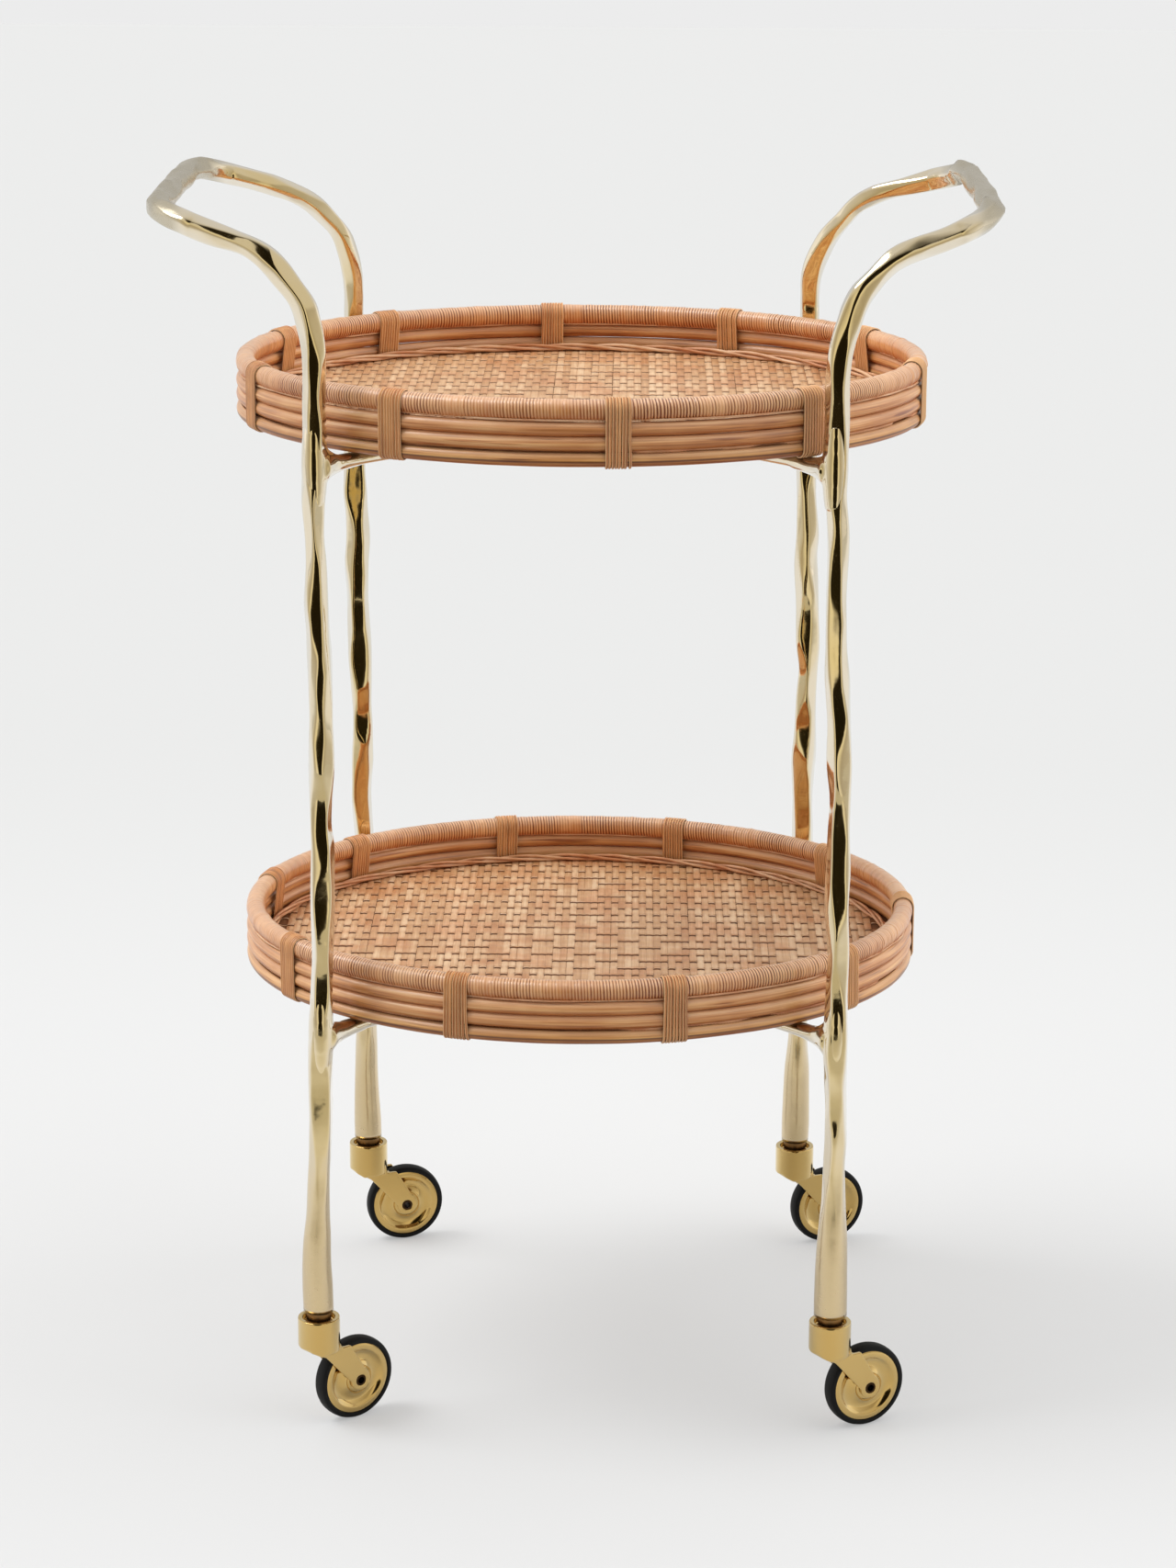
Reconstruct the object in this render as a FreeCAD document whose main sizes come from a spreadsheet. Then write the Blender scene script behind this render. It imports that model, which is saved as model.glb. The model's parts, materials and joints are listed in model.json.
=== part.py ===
"""A wicker serving trolley: two oval rattan trays held in a cast brass frame with hoop handles, on casters.

Millimetres, +Z up, front at -Y, floor at Z = 0, origin under the middle of the trays.
"""
import FreeCAD
import Part
import math
import os

from FreeCAD import Placement, Rotation, Vector

DRIVING_SIZES = (
    # Oval trays: the ellipse is the middle line of the wrapped rim.
    ("tray_half_length", 245.0),
    ("tray_half_depth", 210.0),
    ("upper_rim_height", 767.0),
    ("lower_rim_height", 351.0),
    ("rim_pole_diameter", 11.6),
    ("wrapping_thickness", 1.3),
    ("first_pole_diameter", 10.2),
    ("second_pole_diameter", 10.8),
    ("base_pole_diameter", 10.0),
    ("mat_edge_thickness", 1.6),
    ("mat_thickness", 2.6),
    ("mat_edge_overhang", 5.0),
    ("trim_diameter", 6.0),
    ("trim_gap", 0.2),
    ("binding_thickness", 1.6),
    ("binding_width", 19.0),
    ("base_board_inset", 6.0),
    # Cast rods of the two side frames.
    ("rod_diameter", 16.4),
    ("foot_diameter", 22.6),
    ("front_foot_reach", 187.5),
    ("front_top_reach", 179.5),
    ("back_foot_reach", 175.0),
    ("back_top_reach", 177.0),
    ("leg_depth_reach", 180.0),
    ("foot_height", 92.0),
    ("leg_top_height", 789.0),
    ("handle_reach", 289.0),
    ("handle_bow", 3.5),
    ("handle_depth_reach", 137.0),
    ("handle_height", 889.5),
    ("handle_corner_radius", 24.0),
    # Crossed arms under each tray.
    ("arm_width", 13.0),
    ("arm_height", 9.0),
    ("arm_chamfer", 2.5),
    ("arm_flare_length", 22.0),
    ("arm_flare_height", 25.0),
    ("brace_hub_diameter", 46.0),
    ("screw_reach", 110.0),
    ("screw_diameter", 4.0),
    ("screw_head_diameter", 8.0),
    ("screw_head_height", 2.4),
    ("screw_grip_length", 8.0),
    # Casters.
    ("wheel_diameter", 63.0),
    ("tread_width", 12.0),
    ("tyre_thickness", 4.5),
    ("tyre_shoulder", 1.4),
    ("disc_rim_width", 5.0),
    ("disc_rim_inset", 0.6),
    ("disc_web_thickness", 6.0),
    ("wheel_hub_diameter", 21.0),
    ("bushing_diameter", 12.0),
    ("axle_diameter", 8.0),
    ("axle_bore_diameter", 5.4),
    ("caster_trail", 30.0),
    ("cheek_thickness", 3.0),
    ("cheek_end_radius", 8.0),
    ("wheel_side_clearance", 1.2),
    ("wheel_top_clearance", 1.7),
    ("collar_diameter", 31.0),
    ("collar_top_height", 87.0),
    ("collar_height", 25.5),
    ("collar_heel_height", 69.0),
    ("cheek_waist_height", 56.5),
    ("cheek_ledge", 6.0),
    ("recess_diameter", 24.0),
    ("recess_depth", 5.0),
    ("neck_diameter", 18.0),
    ("race_thickness", 1.0),
    ("race_diameter", 20.0),
    ("ball_diameter", 2.4),
    ("pivot_diameter", 10.0),
    ("rivet_head_diameter", 13.0),
    ("rivet_head_height", 2.5),
    ("stem_diameter", 8.0),
    ("stem_length", 35.0),
    ("stem_tip_gap", 3.0),
    ("turning_clearance", 0.05),
    ("running_gap", 0.3),
    ("cut_overrun", 2.0),
    # Directions in which the four wheels trail, in degrees from +X towards +Y.
    ("front_left_trail_angle", 38.0),
    ("front_right_trail_angle", 28.0),
    ("back_left_trail_angle", 17.0),
    ("back_right_trail_angle", 22.0),
)

# Places of the ten bindings round each tray, as shares of a full turn from the front towards +X.
UPPER_BINDING_SHARES = (0.018, 0.112, 0.217, 0.330, 0.424, 0.517, 0.608, 0.688, 0.810, 0.914)
LOWER_BINDING_SHARES = (0.046, 0.145, 0.250, 0.354, 0.451, 0.541, 0.631, 0.713, 0.841, 0.945)

# Heights of the sections of a leg, and how much each of them swells, from the foot to the top.
LEG_RISE_SHARES = (
    0.0, 0.03, 0.065, 0.1, 0.14, 0.2, 0.27, 0.34, 0.41, 0.48, 0.55, 0.62, 0.69, 0.76, 0.83, 0.9, 1.0)
LEG_SWELL_SHARES = (
    1.0, 0.97, 0.8, 0.3, 0.03, -0.03, 0.04, 0.0, -0.05, 0.03, 0.06, -0.04, 0.05, -0.06, 0.03, -0.03, 0.0)

# The hoop handle from a leg's top to its outer corner: shares of the run outward, upward and inward in depth.
HOOP_OUT_SHARES = (0.0, 0.01, 0.045, 0.1, 0.18, 0.27, 0.38, 0.5, 0.63, 0.75, 0.865, 1.0)
HOOP_RISE_SHARES = (0.0, 0.16, 0.32, 0.477, 0.596, 0.706, 0.785, 0.835, 0.875, 0.915, 0.955, 1.0)
HOOP_DEPTH_SHARES = (0.0, 0.05, 0.12, 0.2, 0.28, 0.36, 0.46, 0.56, 0.67, 0.78, 0.89, 1.0)
BAR_SHARES = (-1.0, -0.5, 0.0, 0.5, 1.0)
HOOP_SWELL_SHARES = (0.0, 0.03, -0.04, 0.02, 0.05, -0.03, 0.03, -0.02)

# Eight corners of a rod's section, as shares of its half thickness, and how far the corners turn per section.
SECTION_SHARES = (1.0, 0.93, 1.04, 0.95, 0.99, 0.92, 1.03, 0.97)
SECTION_TWIST_DEGREES = 7.0

CASTER_NAMES = ("front_left", "front_right", "back_left", "back_right")
BALL_COUNT = 12
HALF_TURN = Rotation(Vector(0, 0, 1), 180)

doc = FreeCAD.newDocument("serving_trolley")
sheet = doc.addObject("Spreadsheet::Sheet", "sizes")
for row, (alias, number) in enumerate(DRIVING_SIZES, start=1):
    sheet.set("A" + str(row), alias)
    sheet.set("B" + str(row), str(number))
    sheet.setAlias("B" + str(row), alias)
doc.recompute()

sub_parts = []


def size(alias):
    """Read a driving dimension from the sheet."""
    return float(sheet.get(alias))


def bind(item, **expressions):
    """Tie properties of an object to the sheet's cells."""
    for name, expression in expressions.items():
        item.setExpression(name, expression)


def keep(item, label):
    """Register a finished sub-part under the name of its file."""
    item.Label = label
    sub_parts.append(item)
    return item


def half(alias):
    return size(alias) / 2


def feature(name, shape):
    """A document object that carries a shape worked out in this script."""
    item = doc.addObject("Part::Feature", name)
    item.Shape = shape
    return item


def cut(name, base, tool):
    item = doc.addObject("Part::Cut", name)
    item.Base = base
    item.Tool = tool
    return item


def fuse(name, pieces):
    item = doc.addObject("Part::MultiFuse", name)
    item.Shapes = pieces
    return item


def compound(name, pieces):
    item = doc.addObject("Part::Compound", name)
    item.Links = pieces
    return item


def cylinder(name, radius, height, bottom):
    """An upright cylinder: radius and height are expressions on the sheet, bottom is a height in mm."""
    item = doc.addObject("Part::Cylinder", name)
    bind(item, Radius=radius, Height=height)
    item.Placement = Placement(Vector(0, 0, bottom), Rotation())
    return item


def ellipse(name, grow, height):
    """An oval that runs alongside the tray's ellipse, grown or shrunk by an expression on the sheet.

    It starts at the left end, where no binding crosses its seam.
    """
    item = doc.addObject("Part::Ellipse", name)
    bind(item, MajorRadius="sizes.tray_half_length + " + grow, MinorRadius="sizes.tray_half_depth + " + grow)
    item.Placement = Placement(Vector(0, 0, height), HALF_TURN)
    return item


def oval_plate(name, grow, thickness, bottom):
    """A flat oval plate."""
    outline = ellipse(name + "_outline", grow, bottom)
    item = doc.addObject("Part::Extrusion", name)
    item.Base = outline
    item.DirMode = "Custom"
    item.Dir = Vector(0, 0, 1)
    bind(item, LengthFwd=thickness)
    item.Solid = True
    return item


def sweep(name, profile, path):
    item = doc.addObject("Part::Sweep", name)
    item.Sections = [profile]
    item.Spine = (path, ["Edge1"])
    item.Solid = True
    item.Frenet = True
    return item


def round_ring(name, radius, grow, height):
    """A round pole bent along an oval: radius and grow are expressions on the sheet."""
    path = ellipse(name + "_path", grow, height)
    profile = doc.addObject("Part::Circle", name + "_profile")
    bind(profile, Radius=radius)
    profile.Placement = Placement(Vector(0, 0, height), Rotation(Vector(1, 0, 0), 90))
    profile.setExpression(".Placement.Base.x", "-(sizes.tray_half_length + " + grow + ")")
    return sweep(name, profile, path)


def turned(name, outline, axis_place):
    """A solid of revolution about the local Z axis from an outline of (radius, height) points."""
    corners = [Vector(radius, 0, height) for radius, height in outline]
    wire = feature(name + "_outline", Part.makePolygon(corners + [corners[0]]))
    item = doc.addObject("Part::Revolution", name)
    item.Source = wire
    item.Axis = Vector(0, 0, 1)
    item.Base = Vector(0, 0, 0)
    item.Angle = 360
    item.Solid = True
    item.Placement = axis_place
    return item


def hull_wire(grow, radius_top, radius_bottom, bottom_out, drop, out, height):
    """The taut loop round two poles of a tray wall, in the plane y = 0, grown outward by a thickness."""
    top = Vector(out, 0, height)
    bottom = Vector(out + bottom_out, 0, height - drop)
    down = bottom.sub(top)
    reach = down.Length
    down.normalize()
    side = Vector(-down.z, 0, down.x)
    lean = math.asin((radius_top - radius_bottom) / reach)
    rear = side.multiply(-1)
    outer = Vector(rear).multiply(-math.cos(lean)).add(Vector(down).multiply(math.sin(lean)))
    inner = Vector(rear).multiply(math.cos(lean)).add(Vector(down).multiply(math.sin(lean)))
    large = radius_top + grow
    small = radius_bottom + grow

    def at(centre, direction, length):
        return centre.add(Vector(direction).multiply(length))

    edges = [
        Part.LineSegment(at(top, outer, large), at(bottom, outer, small)).toShape(),
        Part.Arc(at(bottom, outer, small), at(bottom, down, small), at(bottom, inner, small)).toShape(),
        Part.LineSegment(at(bottom, inner, small), at(top, inner, large)).toShape(),
        Part.Arc(at(top, inner, large), at(top, down, -large), at(top, outer, large)).toShape(),
    ]
    return Part.Wire(edges)


# Rattan trays

RIM_RADIUS = "(sizes.rim_pole_diameter / 2 + sizes.wrapping_thickness)"
rim_radius = half("rim_pole_diameter") + size("wrapping_thickness")


def flush(pole):
    """The expression that brings a pole's outer face flush with the wrapped rim's."""
    return "(" + RIM_RADIUS + " - sizes." + pole + " / 2)"


def nested_drop(upper_radius, lower_radius):
    """How far a pole lies below the one it touches when their outer faces are flush."""
    return 2 * math.sqrt(upper_radius * lower_radius)


first_pole_drop = nested_drop(rim_radius, half("first_pole_diameter"))
second_pole_drop = first_pole_drop + nested_drop(half("first_pole_diameter"), half("second_pole_diameter"))
mat_top_drop = second_pole_drop + half("second_pole_diameter")
mat_bottom_drop = mat_top_drop + size("mat_edge_thickness")
base_pole_drop = mat_bottom_drop + half("base_pole_diameter")
tray_bottom_drop = base_pole_drop + half("base_pole_diameter") + size("binding_thickness")
TRIM_INSET = "(" + RIM_RADIUS + " + sizes.trim_diameter / 2)"


def binding_place(share, rim_height):
    """Where a binding crosses the wall: on the ellipse, with X pointing outward."""
    turn = 2 * math.pi * share
    length = size("tray_half_length")
    depth = size("tray_half_depth")
    point = Vector(length * math.sin(turn), -depth * math.cos(turn), rim_height)
    outward = math.degrees(math.atan2(-length * math.cos(turn), depth * math.sin(turn)))
    return Placement(point, Rotation(Vector(0, 0, 1), outward))


def make_tray(level, rim_height, shares):
    """One oval tray: three side poles and a wrapped rim pole, a mat, its trim, bindings and a base board."""
    rim_pole = round_ring(level + "_rim_pole_ring", "sizes.rim_pole_diameter / 2", "0", rim_height)
    keep(rim_pole, level + "_rim_pole")

    sleeve = round_ring(level + "_sleeve", RIM_RADIUS, "0", rim_height)
    core = round_ring(level + "_core", "sizes.rim_pole_diameter / 2", "0", rim_height)
    keep(cut(level + "_wrapping_cut", sleeve, core), level + "_rim_wrapping")

    for pole, drop in (("first", first_pole_drop), ("second", second_pole_drop), ("base", base_pole_drop)):
        diameter = pole + "_pole_diameter"
        grow = flush(diameter)
        ring = round_ring(level + "_" + pole + "_ring", "sizes." + diameter + " / 2", grow, rim_height - drop)
        label = "_base_pole" if pole == "base" else "_" + pole + "_side_pole"
        keep(ring, level + label)

    mat_bottom = rim_height - mat_bottom_drop
    edge = oval_plate(level + "_mat_edge", "sizes.mat_edge_overhang", "sizes.mat_edge_thickness", mat_bottom)
    field_grow = "-(" + TRIM_INSET + " + sizes.trim_diameter / 2 + sizes.trim_gap)"
    field = oval_plate(level + "_mat_field", field_grow, "sizes.mat_thickness", mat_bottom)
    keep(fuse(level + "_mat_fuse", [edge, field]), level + "_woven_mat")

    trim_height = rim_height - mat_top_drop + half("trim_diameter")
    trim = round_ring(level + "_trim_ring", "sizes.trim_diameter / 2", "-" + TRIM_INSET, trim_height)
    keep(trim, level + "_mat_trim")

    loops = []
    for name, grow in (("outer", size("binding_thickness")), ("inner", 0.0)):
        wire = hull_wire(
            grow, rim_radius, half("base_pole_diameter"), rim_radius - half("base_pole_diameter"),
            base_pole_drop, size("tray_half_length"), rim_height)
        profile = feature(level + "_" + name + "_loop_profile", wire)
        profile.Placement = Placement(Vector(0, 0, 0), HALF_TURN)
        path = ellipse(level + "_" + name + "_loop_path", "0", rim_height)
        loops.append(sweep(level + "_" + name + "_loop", profile, path))
    shell = cut(level + "_loop_shell", loops[0], loops[1])
    gates = []
    for number, share in enumerate(shares, start=1):
        gate = doc.addObject("Part::Box", level + "_gate_" + str(number))
        bind(gate, Width="sizes.binding_width")
        gate.Length = 4 * rim_radius
        gate.Height = tray_bottom_drop + 2 * rim_radius
        gate_bottom = -tray_bottom_drop - size("cut_overrun")
        middle = Vector(-gate.Length.Value / 2, -half("binding_width"), gate_bottom)
        gate.Placement = binding_place(share, rim_height).multiply(Placement(middle, Rotation()))
        gates.append(gate)
    strips = doc.addObject("Part::Common", level + "_strips")
    strips.Base = shell
    strips.Tool = compound(level + "_gates", gates)
    keep(cut(level + "_bindings_cut", strips, edge), level + "_bindings")

    board_thickness = "sizes.base_pole_diameter + sizes.binding_thickness"
    board = oval_plate(
        level + "_board_blank", "-sizes.base_board_inset", board_thickness, rim_height - tray_bottom_drop)
    return board


# Cast brass rods

def rod(name, points, radii, first_turn, first_run, last_run):
    """A cast rod: a ruled loft through eight-sided sections that turn slowly along a path.

    Its two ends are square to the runs given for them, so that it can meet another rod face to face.
    """
    runs = [after.sub(before) for before, after in zip(points, points[2:])]
    wires = []
    side = Vector(1, 0, 0)
    for index, (point, run) in enumerate(zip(points, [first_run] + runs + [last_run])):
        along = Vector(run).normalize()
        side = side.sub(Vector(along).multiply(side.dot(along))).normalize()
        across = along.cross(side)
        turn = math.radians(SECTION_TWIST_DEGREES) * (first_turn + index)
        corners = []
        for number, share in enumerate(SECTION_SHARES):
            angle = turn + 2 * math.pi * number / len(SECTION_SHARES)
            offset = Vector(side).multiply(math.cos(angle)).add(Vector(across).multiply(math.sin(angle)))
            corners.append(point.add(offset.multiply(radii[index] * share)))
        wires.append(Part.makePolygon(corners + [corners[0]]))
    return feature(name, Part.makeLoft(wires, True, True))


def leg_point(corner, share):
    """The middle of a leg at a share of its height."""
    depth_name, side_name = corner.split("_")
    foot = size(depth_name + "_foot_reach")
    top = size(depth_name + "_top_reach")
    reach = foot + (top - foot) * share
    out = reach if side_name == "right" else -reach
    depth = size("leg_depth_reach") if depth_name == "back" else -size("leg_depth_reach")
    height = size("foot_height") + (size("leg_top_height") - size("foot_height")) * share
    return Vector(out, depth, height)


def leg_point_at(corner, height):
    """The middle of a leg at a height."""
    rise = size("leg_top_height") - size("foot_height")
    return leg_point(corner, (height - size("foot_height")) / rise)


def leg_run(corner):
    """A leg's whole run, from its foot to its top."""
    return leg_point(corner, 1).sub(leg_point(corner, 0))


def make_leg(corner):
    """A leg from its widened foot, bored for the caster's stem, to the tray's rim."""
    points = [leg_point(corner, share) for share in LEG_RISE_SHARES]
    radii = []
    for index, swell in enumerate(LEG_SWELL_SHARES):
        if LEG_RISE_SHARES[index] < LEG_RISE_SHARES[4]:
            radii.append(half("rod_diameter") + (half("foot_diameter") - half("rod_diameter")) * swell)
        else:
            radii.append(half("rod_diameter") * (1 + swell))
    blank = rod(corner + "_leg_rod", points, radii, 0, leg_run(corner), leg_run(corner))
    bore = doc.addObject("Part::Cylinder", corner + "_stem_bore")
    bind(bore, Radius="sizes.stem_diameter / 2 + sizes.turning_clearance",
         Height="sizes.stem_length + sizes.stem_tip_gap + sizes.cut_overrun")
    foot = leg_point(corner, 0)
    bore.Placement = Placement(Vector(foot.x, foot.y, foot.z - size("cut_overrun")), Rotation())
    return keep(cut(corner + "_leg_cut", blank, bore), corner + "_leg")


def hoop_side(depth_name, outward):
    """The handle's middle line from one leg's top to its outer corner."""
    top = leg_point(depth_name + "_" + outward, 1)
    sign = 1 if outward == "right" else -1
    front = -1 if depth_name == "front" else 1
    corner = Vector(sign * size("handle_reach"), front * size("handle_depth_reach"), size("handle_height"))
    run = corner.sub(top)
    points = []
    for out, rise, depth in zip(HOOP_OUT_SHARES, HOOP_RISE_SHARES, HOOP_DEPTH_SHARES):
        points.append(top.add(Vector(run.x * out, run.y * depth, run.z * rise)))
    # The corner itself is rounded: the last point gives way to two on either side of it.
    radius = size("handle_corner_radius")
    inward = points[-2].sub(corner).normalize()
    back = Vector(0, -front, 0)
    arc = [
        corner.add(Vector(inward).multiply(radius)),
        corner.add(Vector(inward).multiply(radius / 3)).add(Vector(back).multiply(radius / 3)),
        corner.add(Vector(back).multiply(radius)),
    ]
    near = [point for point in points if point.sub(corner).Length > radius * 4 / 3]
    return near + arc


def make_handle(outward):
    """A hoop handle from the front leg's top, out round the end of the tray, to the back leg's top."""
    front = hoop_side("front", outward)
    back = hoop_side("back", outward)
    start = front[-1]
    finish = back[-1]
    bow = size("handle_bow") * (1 if outward == "right" else -1)
    bar = []
    for share in BAR_SHARES[1:-1]:
        middle = start.add(finish.sub(start).multiply((1 + share) / 2))
        bar.append(middle.add(Vector(bow * (1 - share * share), 0, 0)))
    points = front + bar + list(reversed(back))
    radii = [half("rod_diameter") * (1 + HOOP_SWELL_SHARES[index % len(HOOP_SWELL_SHARES)])
             for index in range(len(points))]
    radii[0] = half("rod_diameter")
    radii[-1] = half("rod_diameter")
    first_turn = len(LEG_RISE_SHARES) - 1
    rising = leg_run("front_" + outward)
    falling = leg_run("back_" + outward).negative()
    return keep(rod(outward + "_handle_rod", points, radii, first_turn, rising, falling), outward + "_handle")


# Crossed arms

def bar_section(centre, along, half_width, half_height, chamfer):
    """An upright eight-sided section of an arm, square to its run."""
    across = Vector(-along.y, along.x, 0)
    pattern = (
        (half_width, half_height - chamfer), (half_width - chamfer, half_height),
        (chamfer - half_width, half_height), (-half_width, half_height - chamfer),
        (-half_width, chamfer - half_height), (chamfer - half_width, -half_height),
        (half_width - chamfer, -half_height), (half_width, chamfer - half_height))
    corners = []
    for sideways, upward in pattern:
        corners.append(centre.add(Vector(across).multiply(sideways)).add(Vector(0, 0, upward)))
    return Part.makePolygon(corners + [corners[0]])


def make_brace(level, rim_height, legs):
    """Two crossed bars under a tray whose ends flare into the four legs."""
    top = rim_height - tray_bottom_drop
    middle = top - half("arm_height")
    pieces = []
    for corner in CASTER_NAMES:
        anchor = leg_point_at(corner, middle)
        centre = Vector(0, 0, middle)
        along = Vector(anchor.x, anchor.y, 0)
        reach = along.Length
        along.normalize()
        flare = size("arm_flare_length")
        slim = half("arm_height")
        growth = half("arm_flare_height") - slim
        sections = (
            (0.0, slim),
            (reach - flare, slim),
            (reach - flare * 3 / 4, slim + growth / 8),
            (reach - flare / 2, slim + growth / 2),
            (reach - flare / 4, slim + growth),
        )
        wires = []
        for distance, half_height in sections:
            place = centre.add(Vector(along).multiply(distance))
            wires.append(bar_section(place, along, half("arm_width"), half_height, size("arm_chamfer")))
        pieces.append(feature(level + "_" + corner + "_arm", Part.makeLoft(wires, True, True)))
    pieces.append(cylinder(
        level + "_brace_hub", "sizes.brace_hub_diameter / 2", "sizes.arm_height", top - size("arm_height")))
    blank = fuse(level + "_brace_fuse", pieces)
    trimmed = cut(level + "_brace_trim", blank, compound(level + "_brace_legs", legs))
    return trimmed


def screw_places(bottom):
    """One screw in each arm, at a named distance from the middle."""
    places = []
    for corner in CASTER_NAMES:
        anchor = leg_point(corner, 1)
        along = Vector(anchor.x, anchor.y, 0).normalize()
        point = along.multiply(size("screw_reach"))
        places.append(Placement(Vector(point.x, point.y, bottom), Rotation()))
    return places


def fasten(level, rim_height, board, brace):
    """Screws from below through the arms into the base board, with their holes."""
    arm_bottom = rim_height - tray_bottom_drop - size("arm_height")
    head_height = size("screw_head_height")
    shank_length = size("arm_height") + size("screw_grip_length")
    screws = []
    holes = []
    for number, place in enumerate(screw_places(arm_bottom), start=1):
        outline = (
            (0, -head_height), (half("screw_head_diameter"), -head_height), (half("screw_head_diameter"), 0),
            (half("screw_diameter"), 0), (half("screw_diameter"), shank_length), (0, shank_length))
        screws.append(turned(level + "_screw_" + str(number), outline, place))
        hole = doc.addObject("Part::Cylinder", level + "_screw_hole_" + str(number))
        bind(hole, Radius="sizes.screw_diameter / 2 + sizes.turning_clearance",
             Height="sizes.arm_height + sizes.screw_grip_length + sizes.turning_clearance")
        hole.Placement = place
        holes.append(hole)
    drill = compound(level + "_screw_holes", holes)
    keep(cut(level + "_board_cut", board, drill), level + "_base_board")
    keep(cut(level + "_brace_cut", brace, drill), level + "_cross_brace")
    keep(compound(level + "_screw_set", screws), level + "_tray_screws")


# Casters

def make_stem(corner, place):
    """The fixed stem: a shank up into the leg, a neck, the pivot through the collar and its riveted head."""
    race_bottom = size("collar_top_height") - size("recess_depth")
    neck_bottom = race_bottom + size("race_thickness") + size("ball_diameter") + size("running_gap")
    collar_bottom = size("collar_top_height") - size("collar_height")
    head_top = collar_bottom - size("running_gap")
    head_bottom = head_top - size("rivet_head_height")
    foot = size("foot_height")
    outline = (
        (0, head_bottom), (half("rivet_head_diameter"), head_bottom), (half("rivet_head_diameter"), head_top),
        (half("pivot_diameter"), head_top), (half("pivot_diameter"), neck_bottom),
        (half("neck_diameter"), neck_bottom), (half("neck_diameter"), foot),
        (half("stem_diameter"), foot), (half("stem_diameter"), foot + size("stem_length")),
        (0, foot + size("stem_length")))
    keep(turned(corner + "_stem_turned", outline, place), corner + "_caster_stem")


def make_bearing(corner, place):
    """The swivel bearing: a flat race in the collar's recess and a ring of balls on it."""
    bottom = size("collar_top_height") - size("recess_depth")
    bore = half("pivot_diameter") + size("running_gap")
    outer = half("race_diameter")
    top = bottom + size("race_thickness")
    race_outline = ((bore, bottom), (outer, bottom), (outer, top), (bore, top))
    pieces = [turned(corner + "_race", race_outline, Placement())]
    track = (bore + half("neck_diameter")) / 2
    for number in range(BALL_COUNT):
        ball = doc.addObject("Part::Sphere", corner + "_ball_" + str(number + 1))
        bind(ball, Radius="sizes.ball_diameter / 2")
        turn = 2 * math.pi * number / BALL_COUNT
        centre = Vector(track * math.cos(turn), track * math.sin(turn), top + half("ball_diameter"))
        ball.Placement = Placement(centre, Rotation())
        pieces.append(ball)
    bearing = compound(corner + "_bearing_set", pieces)
    bearing.Placement = place
    keep(bearing, corner + "_swivel_bearing")


def side_plate(name, corners, half_width):
    """A flat outline in the wheel's plane, given as (trail, height) points, thickened both ways."""
    points = [Vector(trail, -half_width, height) for trail, height in corners]
    face = feature(name + "_outline", Part.makePolygon(points + [points[0]]))
    item = doc.addObject("Part::Extrusion", name)
    item.Base = face
    item.DirMode = "Custom"
    item.Dir = Vector(0, 1, 0)
    item.LengthFwd = 2 * half_width
    item.Solid = True
    return item


def cross_cylinder(name, radius, half_width):
    """A cylinder about the wheel's axle."""
    item = doc.addObject("Part::Cylinder", name)
    bind(item, Radius=radius)
    item.Height = 2 * half_width
    item.Placement = Placement(
        Vector(size("caster_trail"), half_width, half("wheel_diameter")), Rotation(Vector(1, 0, 0), 90))
    return item


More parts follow.
